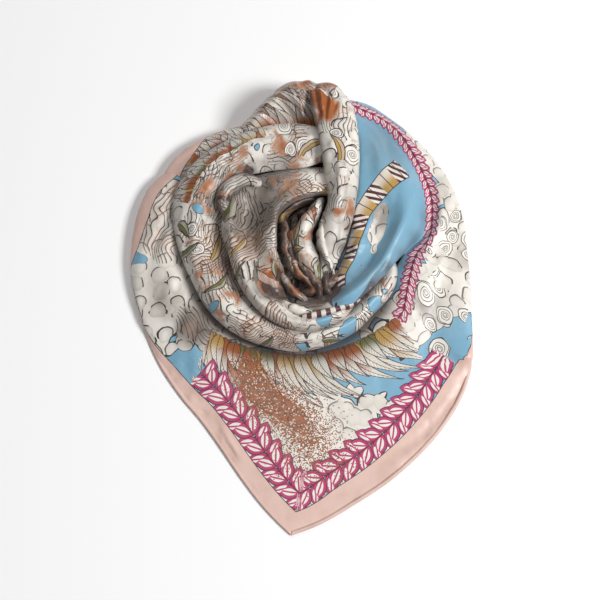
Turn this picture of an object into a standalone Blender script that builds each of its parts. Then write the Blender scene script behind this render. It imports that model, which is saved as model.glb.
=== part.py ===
"""A 900 mm silk square scarf, twisted clockwise into a rosette on a flat surface, one corner spread to the front.

Metres, +Z up. The heap stands on z = 0 with the middle of its footprint at the origin, and the corner points to -Y.
Every stretch of cloth that shows is a thin wall of its own, worked out from a short table. A station of a table is
a clock angle round the eye of the rosette: 0 is the back (+Y), 90 the right (+X), and it grows clockwise, the way
the scarf was twisted. Table lengths are millimetres.
"""

import math

import bmesh
import bpy
import numpy as np
from mathutils.bvhtree import BVHTree

for obj in list(bpy.data.objects):
    bpy.data.objects.remove(obj)

MM = 0.001
WALL = 1.5  # the cloth's wall
GAP = 0.4  # between a fold and the fold it lies on
SEAM = 0.3  # between two stretches that run on into each other
HEM_WIDTH = 6.0
HEM_WALL = 1.2
CORE_SPOKES = 48
CORE_RINGS = 17
CORE_EDGE = 9.0  # the core ends where the cloth over it comes this low
PIT_FLOOR = 27.0
EYE = (7.94, 68.45)  # the rosette's centre in the part's frame

# The outline of the footprint. Its one sharp point is the corner.
CORNER_CLOCK = 182.8
HEM_GAP = 0.05  # degrees between the end of each hem and the corner
OUTLINE = (
    ("clock", "radius"),
    (13.8, 277), (20, 279), (30, 272), (43, 266), (59, 262), (77, 256), (87, 253), (96, 256), (104, 263), (112, 275),
    (118, 289), (123, 303), (128, 314), (141, 335), (151, 351), (161, 370), (170, 390), (177, 411), (182.8, 427),
    (188.7, 393), (194.3, 362), (202, 327), (210, 303), (221, 288), (232, 279), (244, 272), (256, 269), (268, 271),
    (279, 272), (289, 275), (297, 274), (304, 266),
)

# The spread sheet, from the valley beside the first coil, or its hidden edge under the outer coil, to the outline.
# turn is how far its edge is turned in underneath; where it is negative the cloth lies flat over that width.
SPREAD = (
    ("clock", "valley_r", "valley_z", "ridge_r", "ridge_z", "far_z", "brow_z", "turn"),
    (13.8, 249, 44, 261, 42, 36, 24, 18),
    (22, 248, 42, 260, 40, 34, 24, 22),
    (38, 240, 38, 250, 38, 33, 24, 24),
    (55, 226, 35, 242, 37, 31, 22, 26),
    (68, 211, 31, 231, 39, 32, 20, 26),
    (78, 193, 28, 212, 41, 31, 18, 26),
    (86, 160, 25, 186, 39, 28, 16, 26),
    (98, 140, 20, 174, 35, 26, 14, 26),
    (110, 130, 17, 166, 29, 21, 12, 26),
    (115, 128, 16, 164, 27, 18, 10, 16),
    (120, 127, 16, 164, 25, 15, 7.5, 5),
    (126, 127, 15, 167, 22, 12, 5, -6),
    (138, 128, 15, 170, 19, 9, 3.6, -12),
    (150, 129, 15, 174, 17, 7.5, 3.0, -16),
    (165, 131, 14, 184, 14, 6.5, 2.8, -18),
    (183, 137, 14, 194, 13, 6, 2.8, -20),
    (203, 141, 15, 190, 15, 8, 3.2, -16),
    (221, 147, 17, 196, 19, 11, 4, -14),
    (233, 151, 18, 199, 22, 15, 5.5, -10),
    (245, 155, 20, 203, 26, 19, 8, -2),
    (257, 159, 21, 207, 30, 23, 11, 6),
    (268, 168, 22, 215, 33, 27, 13, 10),
    (278, 178, 24, 226, 35, 29, 14, 10),
    (292, 204, 26, 240, 33, 28, 13, 8),
    (304, 214, 26, 240, 30, 25, 12, 6),
)

# The first coil: the inner part of the same stretch. It climbs out of the heart to a crest, and from 90 on it leans
# out over the outer coil.
FIRST = (
    ("clock", "foot_r", "foot_z", "slope_r", "slope_z", "trough_r", "trough_z", "crest_r", "crest_z",
     "brow_r", "brow_z", "end_r", "end_z"),
    (13.8, 214, 44, 220, 52, 226, 57, 233, 58, 242, 53, 249, 44),
    (22, 196, 42, 204, 52, 211, 58, 220, 60, 235, 54, 248, 42),
    (29, 150, 40, 170, 53, 190, 58, 209, 60, 229, 53, 245, 40),
    (38, 104, 38, 136, 52, 160, 57, 196, 61, 222, 52, 240, 38),
    (55, 74, 34, 112, 54, 150, 55, 182, 62, 208, 50, 226, 35),
    (68, 58, 31, 100, 54, 138, 51, 164, 63, 191, 49, 211, 31),
    (78, 50, 29, 88, 52, 124, 50, 147, 65, 173, 49, 193, 28),
    (86, 45, 28, 78, 49, 112, 49, 135, 66, 155, 47, 160, 25),
    (98, 42, 27, 68, 44, 99, 48, 123, 67, 138, 52, 134, 38),
    (111, 44, 26, 66, 42, 88, 47, 112, 68, 124, 54, 119, 43),
    (124, 50, 26, 66, 40, 82, 47, 106, 67, 116, 55, 111, 46),
    (138, 60, 26, 70, 38, 80, 46, 101, 64, 111, 54, 107, 46),
    (155, 66, 26, 72, 36, 78, 42, 95, 57, 104, 48, 101, 42),
    (172, 66, 25, 70, 32, 75, 38, 88, 48, 95, 41, 92, 35),
    (190, 62, 24, 66, 28, 70, 32, 80, 38, 86, 32, 83, 27),
)

# The outer coil: from under the first coil at the right, round the front and the left, to under the crown fold.
OUTER = (
    ("clock", "inner_r", "inner_z", "flank_r", "flank_z", "crest_r", "crest_z", "brow_r", "brow_z", "tuck"),
    (90, 118, 22, 126, 29, 136, 32, 141, 27, 4),
    (97, 116, 22, 129, 32, 142, 37, 150, 29, 5),
    (104, 113, 22, 126, 35, 140, 42, 148, 29, 5),
    (113, 108, 25, 119, 38, 133, 46, 144, 30, 6),
    (130, 106, 28, 116, 41, 128, 50, 139, 31, 7),
    (147, 107, 28, 118, 42, 131, 52, 142, 32, 7),
    (163, 108, 28, 120, 43, 132, 54, 145, 33, 8),
    (183, 108, 28, 123, 43, 137, 55, 152, 34, 8),
    (203, 106, 28, 123, 43, 139, 56, 156, 34, 9),
    (220, 103, 28, 123, 43, 144, 56, 163, 34, 9),
    (239, 101, 28, 124, 43, 149, 57, 170, 34, 9),
    (257, 102, 28, 128, 43, 155, 58, 177, 34, 10),
    (273, 107, 28, 136, 42, 165, 59, 193, 34, 10),
    (286, 116, 28, 147, 43, 177, 60, 211, 34, 11),
    (299, 128, 30, 159, 46, 188, 62, 226, 36, 12),
    (306, 142, 33, 163, 49, 191, 65, 228, 39, 12),
    (314, 158, 37, 164, 53, 194, 67, 228, 43, 12),
    (324, 158, 48, 152, 55, 189, 70, 222, 48, 11),
    (337, 149, 50, 142, 56, 185, 72, 217, 54, 9),
    (350, 144, 50, 136, 56, 180, 72, 213, 58, 7),
    (362, 146, 50, 138, 56, 176, 71, 208, 57, 6),
    (374, 160, 48, 153, 54, 180, 66, 203, 54, 5),
)

# The second coil with the hood round the pit: from the pit's wall over the lip and a dip to the crest.
SECOND = (
    ("clock", "foot_r", "foot_z", "lip_r", "lip_z", "dip_r", "dip_z", "crest_r", "crest_z", "brow_r", "brow_z",
     "tuck"),
    (140, 78, 27, 88, 31, 98, 38, 108, 45, 114, 42, 3),
    (152, 80, 27, 90, 33, 102, 44, 113, 53, 120, 47, 4),
    (163, 84, 26, 94, 37, 105, 50, 116, 59, 123, 51, 5),
    (178, 88, 25, 97, 38, 107, 52, 117, 62, 126, 52, 5),
    (193, 82, 24, 92, 38, 104, 52, 116, 64, 125, 53, 5),
    (209, 62, 26, 76, 40, 92, 53, 110, 65, 120, 54, 5),
    (226, 44, 30, 62, 48, 82, 57, 104, 66, 115, 54, 5),
    (240, 38, 34, 50, 60, 76, 60, 102, 67, 113, 54, 5),
    (255, 40, 36, 46, 69, 74, 61, 102, 67, 113, 54, 5),
    (270, 44, 38, 48, 73, 80, 56, 106, 67, 118, 54, 5),
    (287, 51, 38, 55, 75, 98, 46, 121, 67, 134, 54, 5),
    (303, 59, 38, 62, 76, 112, 42, 131, 61, 144, 52, 4),
    (314, 65, 38, 67, 76, 112, 46, 136, 54, 149, 46, 1),
    (325, 72, 38, 73, 76, 106, 58, 128, 54, 142, 47, -5),
    (337, 79, 38, 78, 75, 100, 67, 117, 62, 131, 52, -6),
    (350, 86, 38, 84, 74, 101, 69, 114, 65, 127, 54, -6),
    (362, 92, 38, 89, 73, 105, 68, 117, 63, 129, 53, -6),
    (372, 98, 38, 95, 68, 109, 64, 122, 58, 134, 49, -6),
)

# The back flap, a lower stretch that shows behind the outer coil.
FLAP = (
    ("clock", "inner_r", "inner_z", "foot_r", "foot_z", "ridge_r", "ridge_z", "brow_z", "edge_r", "turn"),
    (304.6, 200, 20, 212, 22, 236, 30, 14, 267, 6),
    (312, 198, 22, 210, 26, 234, 35, 16, 267, 8),
    (320, 195, 25, 207, 30, 229, 40, 20, 260, 10),
    (327, 192, 28, 203, 34, 222, 44, 24, 252, 12),
    (334.4, 190, 30, 200, 37, 216, 46, 28, 243, 14),
)

# The peak at the back, which falls to the floor behind and runs in under the outer coil in front.
PEAK = (
    ("clock", "inner_r", "inner_z", "foot_r", "foot_z", "ridge_r", "ridge_z", "brow_z", "edge_r", "turn"),
    (334.8, 192, 34, 206, 40, 222, 47, 28, 242, 10),
    (341, 194, 38, 210, 44, 233, 61, 34, 254, 12),
    (346, 196, 40, 213, 46, 243, 71, 38, 267, 14),
    (351, 197, 41, 216, 47, 255, 79, 40, 281, 16),
    (356, 198, 41, 218, 47, 263, 82, 40, 290, 18),
    (361, 199, 40, 222, 47, 264, 79, 40, 288, 18),
    (367, 200, 38, 224, 46, 262, 74, 38, 285, 18),
    (373.4, 206, 36, 226, 42, 256, 58, 32, 280, 18),
)

# Folds along a spine of crest points. heading is the clock angle in which the cloth runs on, and on each side the
# section falls by drop over reach.
SPINE = ("x", "y", "z", "heading", "left", "left_drop", "right", "right_drop", "turn")
CROWN = (
    SPINE,
    (34, 265, 80.5, 180, 24, 3, 27, 3, 0),
    (35, 260, 83, 180, 27, 10, 30, 10, 5),
    (38, 246, 87, 180, 30, 26, 34, 30, 10),
    (44, 216, 90, 178, 30, 40, 35, 42, 20),
    (51, 180, 91, 177, 30, 40, 33, 50, 25),
    (56, 144, 91, 179, 29, 38, 29, 54, 25),
    (57, 108, 89, 183, 26, 38, 26, 56, 25),
    (54, 74, 84, 187, 20, 38, 24, 50, 20),
    (48, 42, 75, 188, 24, 36, 23, 42, 15),
    (42, 10, 61, 190, 24, 26, 19, 30, 10),
    (38, -16, 45, 190, 18, 14, 14, 16, 0),
)

# The crumpled middle of the square, caught in the pit.
LEAF = (
    SPINE,
    (21, 80, 58, 205, 7, 14, 6, 14, 10),
    (12, 64, 66, 205, 9, 20, 9, 20, 15),
    (2, 42, 67, 195, 12, 24, 11, 24, 15),
    (-3, 18, 66, 180, 13, 24, 13, 24, 15),
    (3, -8, 62, 160, 13, 22, 14, 22, 10),
    (13, -30, 56, 150, 12, 16, 13, 16, 5),
    (21, -44, 50, 145, 10, 8, 10, 8, 0),
)
SIDE = (
    SPINE,
    (-30, 54, 40, 180, 7, 13, 7, 13, 5),
    (-30, 36, 48, 180, 7, 21, 7, 21, 5),
    (-29, 14, 52, 176, 7, 25, 7, 25, 5),
    (-25, -8, 51, 168, 7, 24, 7, 24, 5),
    (-19, -26, 46, 162, 6, 19, 6, 19, 5),
)
KNOT = (
    SPINE,
    (46, -38, 42, 236, 7, 10, 7, 10, 0),
    (36, -48, 45, 242, 8, 12, 8, 12, 0),
    (20, -56, 44, 250, 8, 12, 8, 12, 0),
    (4, -60, 40, 256, 7, 10, 7, 10, 0),
)
ROLL = (
    SPINE,
    (-31, -39, 42, 156, 6, 12, 6, 12, 0),
    (-25, -50, 45, 148, 6, 16, 6, 16, 0),
    (-15, -62, 45, 138, 6, 16, 6, 16, 0),
    (-1.8, -71.6, 41, 128, 6, 12, 6, 12, 0),
)


def named(table):
    """The table's columns by name, as arrays."""
    names, *rows = table
    return dict(zip(names, np.array(rows, float).T))


def through(knots, values, at):
    """A smooth curve through a column: cubic between rows, with each row's slope taken from the rows beside it."""
    slope = np.gradient(values, knots)
    i = np.clip(np.searchsorted(knots, at, side="right") - 1, 0, len(knots) - 2)
    step = knots[i + 1] - knots[i]
    t = np.clip((at - knots[i]) / step, 0, 1)
    return (
        values[i] * (1 + 2 * t) * (1 - t) ** 2
        + values[i + 1] * t * t * (3 - 2 * t)
        + step * slope[i] * t * (1 - t) ** 2
        - step * slope[i + 1] * t * t * (1 - t)
    )


def read(table, key, at):
    """Every column of a table at the given values of its key column."""
    columns = named(table)
    return {name: through(columns[key], column, at) for name, column in columns.items()}


def outline(clock):
    """The footprint's radius. The two sides of the corner are separate curves."""
    columns = named(OUTLINE)
    side = columns["clock"] <= CORNER_CLOCK
    right = through(columns["clock"][side], columns["radius"][side], clock)
    side = columns["clock"] >= CORNER_CLOCK
    left = through(columns["clock"][side], columns["radius"][side], clock)
    return np.where(clock <= CORNER_CLOCK, right, left)


def across(points, cuts):
    """A smooth line through each station's points, with cuts[i] steps between point i and the next."""
    at = np.concatenate([np.arange(n) / n + i for i, n in enumerate(cuts)] + [[len(cuts)]])
    lines = []
    for station in points:
        chord = np.linalg.norm(np.diff(station, axis=0), axis=1)
        knots = np.concatenate([[0], np.cumsum(np.maximum(chord, 0.5))])
        where = np.interp(at, np.arange(len(knots)), knots)
        lines.append(np.stack([through(knots, column, where) for column in station.T], axis=-1))
    return np.array(lines)


def ring(clock, sections):
    """Sections of (radius, height) set round the eye, one at each clock angle."""
    turn = np.radians(clock)[:, None]
    radius, height = sections[..., 0], sections[..., 1]
    return np.stack([EYE[0] + radius * np.sin(turn), EYE[1] + radius * np.cos(turn), height], axis=-1)


def pairs(columns, *names):
    """The named (radius, height) points of every station."""
    return np.stack([np.stack([columns[n + "_r"], columns[n + "_z"]], axis=-1) for n in names], axis=1)


def normals(grid):
    along, over = np.gradient(grid, axis=0), np.gradient(grid, axis=1)
    normal = np.cross(along, over)
    normal /= np.maximum(np.linalg.norm(normal, axis=-1, keepdims=True), 1e-9)
    return normal if normal[..., 2].mean() > 0 else -normal


def add_body(name, points, faces, colour):
    """One closed mesh object with its own material."""
    mesh = bpy.data.meshes.new(name)
    mesh.from_pydata([tuple(p * MM) for p in points], [], faces)
    work = bmesh.new()
    work.from_mesh(mesh)
    bmesh.ops.recalc_face_normals(work, faces=work.faces)
    work.to_mesh(mesh)
    work.free()
    material = bpy.data.materials.new(name + "_silk")
    material.use_nodes = True
    surface = material.node_tree.nodes["Principled BSDF"]
    surface.inputs["Base Color"].default_value = (*colour, 1)
    surface.inputs["Roughness"].default_value = 0.4
    surface.inputs["Metallic"].default_value = 0
    mesh.materials.append(material)
    body = bpy.data.objects.new(name, mesh)
    bpy.context.scene.collection.objects.link(body)
    return body


def wall(name, grid, colour, thickness=WALL):
    """A closed wall whose outer face is the grid. It grows inwards, against the grid's normals."""
    rows, columns = grid.shape[:2]
    inner = grid - normals(grid) * thickness
    points = np.concatenate([grid.reshape(-1, 3), inner.reshape(-1, 3)])
    index = np.arange(rows * columns).reshape(rows, columns)
    under = index + rows * columns
    faces = []
    for i in range(rows - 1):
        for j in range(columns - 1):
            faces.append((index[i, j], index[i, j + 1], index[i + 1, j + 1], index[i + 1, j]))
            faces.append((under[i, j], under[i + 1, j], under[i + 1, j + 1], under[i, j + 1]))
    rim = [*index[0], *index[1:, -1], *index[-1, -2::-1], *index[-2:0:-1, 0]]
    for a, b in zip(rim, rim[1:] + rim[:1]):
        faces.append((b, a, a + rows * columns, b + rows * columns))
    return add_body(name, points, [tuple(int(v) for v in face) for face in faces], colour)


def tree_of(body):
    """The body's faces for lookups in millimetres, as triangles."""
    body.data.calc_loop_triangles()
    points = [v.co / MM for v in body.data.vertices]
    return BVHTree.FromPolygons(points, [tuple(t.vertices) for t in body.data.loop_triangles])


def tops(bodies):
    """A lookup for the highest face of these bodies above a place; the floor where there is none."""
    trees = [tree_of(body) for body in bodies]

    def top(x, y):
        hits = [tree.ray_cast((x, y, 500), (0, 0, -1))[0] for tree in trees]
        return max([hit.z for hit in hits if hit], default=0.0)

    return top


def rest(clock, radius, top, lift=WALL + GAP + 0.6):
    """Heights for a wall's outer face that clear what lies below it."""
    turn = np.radians(clock)
    return np.array([top(EYE[0] + r * math.sin(a), EYE[1] + r * math.cos(a)) for r, a in zip(radius, turn)]) + lift


def tucked(clock, columns, top):
    """The brow's tucked end: a little inwards, and down to just above what it lies on. Untucked, it barely falls."""
    radius = columns["brow_r"] - columns["tuck"]
    deepest = np.clip(9 + columns["tuck"], 4, 14)
    height = np.clip(rest(clock, radius, top), columns["brow_z"] - deepest, columns["brow_z"] - 3)
    return np.stack([radius, height], axis=-1)


def spine_fold(table, steps, arc, top):
    """A fold along a spine: on each side a quarter of an ellipse from the crest, turned in underneath at its end.

    A side falls by its own drop, or less where it meets what lies below it first.
    """
    knots = np.arange(len(table) - 1)
    at = np.linspace(0, knots[-1], steps)
    columns = {name: through(knots, column, at) for name, column in named(table).items()}
    crest = np.stack([columns["x"] + EYE[0], columns["y"] + EYE[1], columns["z"]], axis=-1)
    ahead = np.gradient(crest, axis=0)
    ahead /= np.linalg.norm(ahead, axis=1, keepdims=True)
    heading = np.radians(columns["heading"])
    right = np.stack([-np.cos(heading), np.sin(heading), 0 * heading], axis=-1)
    down = np.cross(right, ahead)
    down /= np.linalg.norm(down, axis=1, keepdims=True)
    sweep = np.linspace(0, 1, arc + 1)
    angle = sweep * np.radians(90 + columns["turn"][:, None])
    sides = []
    for sign, side in ((-1, "left"), (1, "right")):
        over = sign * columns[side][:, None] * np.sin(angle)
        fall = columns[side + "_drop"][:, None] * (1 - np.cos(angle))
        share = np.ones(steps)
        for i in range(steps):
            while share[i] > 0.15:
                line = crest[i] + right[i] * over[i, :, None] + down[i] * fall[i, :, None] * share[i]
                if all(z > top(x, y) + WALL + GAP + 0.9 for x, y, z in line[1:]):
                    break
                share[i] -= 0.05
        share = np.minimum(share, np.minimum(np.append(share[1:], share[-1]), np.insert(share[:-1], 0, share[0])))
        share = np.convolve(np.pad(share, 1, mode="edge"), (0.25, 0.5, 0.25), mode="valid")
        sides.append((over, fall * share[:, None]))
    over = np.concatenate([sides[0][0][:, :0:-1], sides[1][0]], axis=1)
    fall = np.concatenate([sides[0][1][:, :0:-1], sides[1][1]], axis=1)
    return crest[:, None] + right[:, None] * over[..., None] + down[:, None] * fall[..., None]


SKY = (0.30, 0.47, 0.60)
BLUSH = (0.80, 0.56, 0.50)
IVORY = (0.72, 0.70, 0.66)
MAGENTA = (0.45, 0.16, 0.24)
RUST = (0.50, 0.30, 0.18)


def hem(name, sheet, clocks, colour):
    """The turned hem along one edge of the spread corner, of one width square to the edge."""
    radius = outline(clocks)
    slant = np.arctan2(radius, np.gradient(radius, np.radians(clocks)))
    width = HEM_WIDTH / np.abs(np.sin(slant))
    top = tops([sheet])
    lines = []
    for share in (1, 0.5, 0.06):
        at = radius - width * share
        lines.append(np.stack([at, rest(clocks, at, top, SEAM + HEM_WALL)], axis=-1))
    return wall(name, ring(clocks, np.stack(lines, axis=1)), colour, HEM_WALL)


def core(name, bodies, colour):
    """The hidden layers as one solid: flat underneath, and on top just clear of every fold that covers it."""
    trees = [tree_of(body) for body in bodies]
    clocks = np.radians(np.arange(0, 360, 360 / CORE_SPOKES))

    def under(x, y):
        hits = [tree.ray_cast((x, y, -1), (0, 0, 1))[0] for tree in trees]
        return min([hit.z for hit in hits if hit], default=PIT_FLOOR)

    def clear(clock, radius, spread):
        """The lowest face over a small round patch."""
        x, y = EYE[0] + radius * math.sin(clock), EYE[1] + radius * math.cos(clock)
        ring_of = [(0, 0)] + [(spread * math.cos(a), spread * math.sin(a)) for a in np.radians(np.arange(0, 360, 45))]
        return min(under(x + dx, y + dy) for dx, dy in ring_of)

    edge = []
    for clock in clocks:
        radius = 190.0
        while radius < 400 and clear(clock, radius + 4, 3) > CORE_EDGE:
            radius += 3
        edge.append(radius)
    edge = np.array(edge)
    edge = np.min([np.roll(edge, k) for k in (-1, 0, 1)], axis=0)
    shares = np.linspace(0, 1, CORE_RINGS + 1)[1:]
    height = np.array([[clear(c, e * s, 6) - GAP - 0.2 for s in shares] for c, e in zip(clocks, edge)])
    height = np.maximum(height, 2)
    middle = clear(0, 0, 6) - GAP - 0.2

    def shape():
        points = [(EYE[0], EYE[1], middle), (EYE[0], EYE[1], 0)]
        for clock, far, line in zip(clocks, edge, height):
            for share, z in zip(shares, line):
                points.append((EYE[0] + far * share * math.sin(clock), EYE[1] + far * share * math.cos(clock), z))
            points.append((points[-1][0], points[-1][1], 0))
        step = CORE_RINGS + 1
        faces = []
        for i in range(CORE_SPOKES):
            a, b = 2 + i * step, 2 + (i + 1) % CORE_SPOKES * step
            faces += [(0, b, a), (1, a + CORE_RINGS, b + CORE_RINGS)]
            for j in range(CORE_RINGS):
                faces += [(a + j, b + j, b + j + 1), (a + j, b + j + 1, a + j + 1)]
        return np.array(points), faces

    for _ in range(60):
        points, faces = shape()
        mine = BVHTree.FromPolygons([tuple(p) for p in points], faces)
        met = {v for tree in trees for face, _ in mine.overlap(tree) for v in faces[face]}
        met = {(v - 2) for v in met if v > 1}
        if not met:
            break
        for v in met:
            i, j = divmod(v, CORE_RINGS + 1)
            if j < CORE_RINGS:
                height[i, j] = max(height[i, j] - 1, 1)
    return add_body(name, points, faces, colour)


def back_strip(name, table, steps, colour):
    """A stretch at the back: from under the outer coil over its ridge and down to the floor."""
    clocks = named(table)["clock"]
    clock = np.linspace(clocks[0], clocks[-1], steps)
    columns = read(table, "clock", clock)
    columns["brow_r"] = columns["edge_r"]
    columns["end_r"] = columns["edge_r"] - columns["turn"]
    columns["end_z"] = np.full_like(clock, WALL + 0.5)
    points = pairs(columns, "inner", "foot", "ridge", "brow", "end")
    return wall(name, ring(clock, across(points, (1, 3, 3, 2))), colour)


def build():
    stations = np.concatenate([np.linspace(13.8, CORNER_CLOCK, 38), np.linspace(CORNER_CLOCK, 304, 28)[1:]])
    spread = read(SPREAD, "clock", stations)
    radius = outline(stations)
    turned = spread["turn"]
    spread["valley_r"] = spread["valley_r"] + SEAM / 2
    spread["far_r"] = (spread["ridge_r"] + radius) / 2
    spread["brow_r"] = radius + np.minimum(turned, 0)
    spread["end_r"] = radius - np.maximum(turned, 0)
    spread["end_z"] = np.full_like(radius, WALL + 0.5)
    points = pairs(spread, "valley", "ridge", "far", "brow", "end")
    sheet = wall("spread_sheet", ring(stations, across(points, (3, 3, 3, 3))), SKY)

    flap = back_strip("back_flap", FLAP, 9, BLUSH)
    peak = back_strip("peak_fold", PEAK, 14, SKY)

    clock = np.linspace(90, 374, 56)
    outer = read(OUTER, "clock", clock)
    points = pairs(outer, "inner", "flank", "crest", "brow")
    end = tucked(clock, outer, tops([sheet, flap, peak]))
    coil = wall("outer_coil", ring(clock, across(np.concatenate([points, end[:, None]], axis=1), (2, 3, 3, 2))), IVORY)

    clock = np.linspace(140, 372, 46)
    second = read(SECOND, "clock", clock)
    points = pairs(second, "foot", "lip", "dip", "crest", "brow")
    end = tucked(clock, second, tops([sheet, coil]))
    hood = wall("second_coil", ring(clock, across(np.concatenate([points, end[:, None]], axis=1), (3, 3, 3, 2, 2))), SKY)

    clock = stations[stations < 192]
    first = read(FIRST, "clock", clock)
    first["end_r"] = first["end_r"] - SEAM / 2
    first["end_z"] = np.maximum(first["end_z"], rest(clock, first["end_r"], tops([coil, hood])))
    points = pairs(first, "foot", "slope", "trough", "crest", "brow", "end")
    inner = wall("first_coil", ring(clock, across(points, (2, 3, 3, 3, 2))), SKY)

    folds = [sheet, flap, peak, coil, hood, inner]
    folds.append(wall("crown_fold", spine_fold(CROWN, 24, 5, tops(folds)), SKY))
    for name, table, steps, colour in (
        ("heart_leaf", LEAF, 14, MAGENTA),
        ("heart_side", SIDE, 11, MAGENTA),
        ("heart_knot", KNOT, 9, RUST),
        ("heart_roll", ROLL, 9, IVORY),
    ):
        folds.append(wall(name, spine_fold(table, steps, 4, tops(folds[:6])), colour))
    core("folded_core", folds, IVORY)
    for name, low, high, side in (("hem_right", 124, CORNER_CLOCK, -1), ("hem_left", CORNER_CLOCK, 241, 1)):
        clock = stations[(stations >= low) & (stations <= high)]
        hem(name, sheet, np.where(clock == CORNER_CLOCK, CORNER_CLOCK + side * HEM_GAP, clock), BLUSH)


build()
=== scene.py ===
"""A 900 mm silk square, twisted clockwise into a rosette on a flat surface, with one corner spread to the front.

Metres, +Z up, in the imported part's frame. The tables are in millimetres. A place on the cloth is a clock angle round
the rosette's eye (0 at the back, 90 at the right, growing clockwise) and a radius from the eye.
"""

import math

import bpy
import numpy as np
from mathutils.kdtree import KDTree
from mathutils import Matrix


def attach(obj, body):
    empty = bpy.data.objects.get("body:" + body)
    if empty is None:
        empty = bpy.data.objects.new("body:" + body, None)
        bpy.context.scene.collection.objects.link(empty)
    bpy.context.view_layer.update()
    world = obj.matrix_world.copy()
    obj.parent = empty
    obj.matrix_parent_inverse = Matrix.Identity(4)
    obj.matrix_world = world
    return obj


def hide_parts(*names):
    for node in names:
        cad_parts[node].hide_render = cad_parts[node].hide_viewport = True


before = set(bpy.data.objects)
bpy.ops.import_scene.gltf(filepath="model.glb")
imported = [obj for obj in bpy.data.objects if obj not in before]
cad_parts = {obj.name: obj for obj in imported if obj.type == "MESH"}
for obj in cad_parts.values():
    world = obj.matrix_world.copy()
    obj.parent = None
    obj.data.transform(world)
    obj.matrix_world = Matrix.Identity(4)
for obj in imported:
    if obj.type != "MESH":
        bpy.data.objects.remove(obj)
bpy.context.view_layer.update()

# --- The table, the light and the camera ---------------------------------------------------------------------------
# The scarf lies on a plain pale table under one soft light from the right, with weak ones from above and behind.
# The camera stands in front and looks down steeply, 18 degrees off straight down.

TABLE_SIZE = 6.0
TABLE_WHITE = 0.93
STUDIO_STRENGTH = 0.12
VIEW_TARGET = (0.0002, 0.0066, 0.0)
VIEW_DISTANCE = 2.2
VIEW_ELEVATION = 72
VIEW_LENS = 85.16
LIGHTS = (
    ("name", "place", "size", "watts"),
    ("right_light", (3.2, -0.9, 3.4), 1.4, 212),
    ("top_light", (-0.7, -0.6, 4.6), 1.8, 42),
    ("back_light", (0.0, 3.8, 2.9), 2.0, 46),
)


def table_top():
    """A flat square in a matt, nearly white paint."""
    half = TABLE_SIZE / 2
    mesh = bpy.data.meshes.new("table_top")
    mesh.from_pydata([(-half, -half, 0), (half, -half, 0), (half, half, 0), (-half, half, 0)], [], [(0, 1, 2, 3)])
    paint = bpy.data.materials.new("pale_table")
    paint.use_nodes = True
    surface = paint.node_tree.nodes["Principled BSDF"]
    surface.inputs["Base Color"].default_value = (TABLE_WHITE, TABLE_WHITE, TABLE_WHITE, 1)
    surface.inputs["Roughness"].default_value = 0.9
    mesh.materials.append(paint)
    return bpy.data.objects.new("table_top", mesh)


floor = table_top()
bpy.context.scene.collection.objects.link(floor)

for name, place, size, watts in LIGHTS[1:]:
    lamp = bpy.data.lights.new(name, "AREA")
    lamp.size = size
    lamp.energy = watts
    holder = bpy.data.objects.new(name, lamp)
    across_floor = math.hypot(place[0], place[1])
    holder.location = place
    holder.rotation_euler = (math.atan2(across_floor, place[2]), 0, math.atan2(place[0], -place[1]))
    bpy.context.scene.collection.objects.link(holder)

studio = bpy.data.worlds.new("studio")
studio.use_nodes = True
studio.node_tree.nodes["Background"].inputs["Color"].default_value = (1, 1, 1, 1)
studio.node_tree.nodes["Background"].inputs["Strength"].default_value = STUDIO_STRENGTH
bpy.context.scene.world = studio
bpy.context.scene.view_settings.view_transform = "Standard"

camera = bpy.data.objects.new("camera", bpy.data.cameras.new("camera"))
camera.data.lens = VIEW_LENS
tilt = math.radians(90 - VIEW_ELEVATION)
camera.location = (
    VIEW_TARGET[0],
    VIEW_TARGET[1] - VIEW_DISTANCE * math.sin(tilt),
    VIEW_TARGET[2] + VIEW_DISTANCE * math.cos(tilt),
)
camera.rotation_euler = (tilt, 0, 0)
bpy.context.scene.collection.objects.link(camera)
bpy.context.scene.camera = camera

# --- The spread corner and the inner turn --------------------------------------------------------------------------
# One stretch of printed silk twill. Its outer part lies open to the corner, with a plain blush border round the
# print; at the right it runs up over a valley into the inner turn of the rosette, which leans out over the next one.

MM = 0.001
EYE = (7.94, 68.45)
CLOTH = 0.5  # the silk's thickness as it lies
TABLE_GAP = 2.0  # height of an edge tucked under, off the table
NO_EDGE = 200.0  # distance to the edge that stands for a stretch with no edge near
START_CLOCK = 13.8
CORNER_CLOCK = 182.8
SPREAD_END_CLOCK = 304
FIRST_END_CLOCK = 190
JOIN_CLOCK = 88  # up to here the inner turn and the spread part are one unbroken stretch
JOIN_FADE = 10
JOIN_STEPS = 120
EASE_CLOCK = 120  # from JOIN_CLOCK to here the flat cloth of the spread part eases away from the inner turn's
UPPER_SLOPE = 0.12  # a point whose normal rises more than this is on the cloth's upper side
CREASE_STEPS = 61
RUMPLE_WAVES = 8

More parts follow.
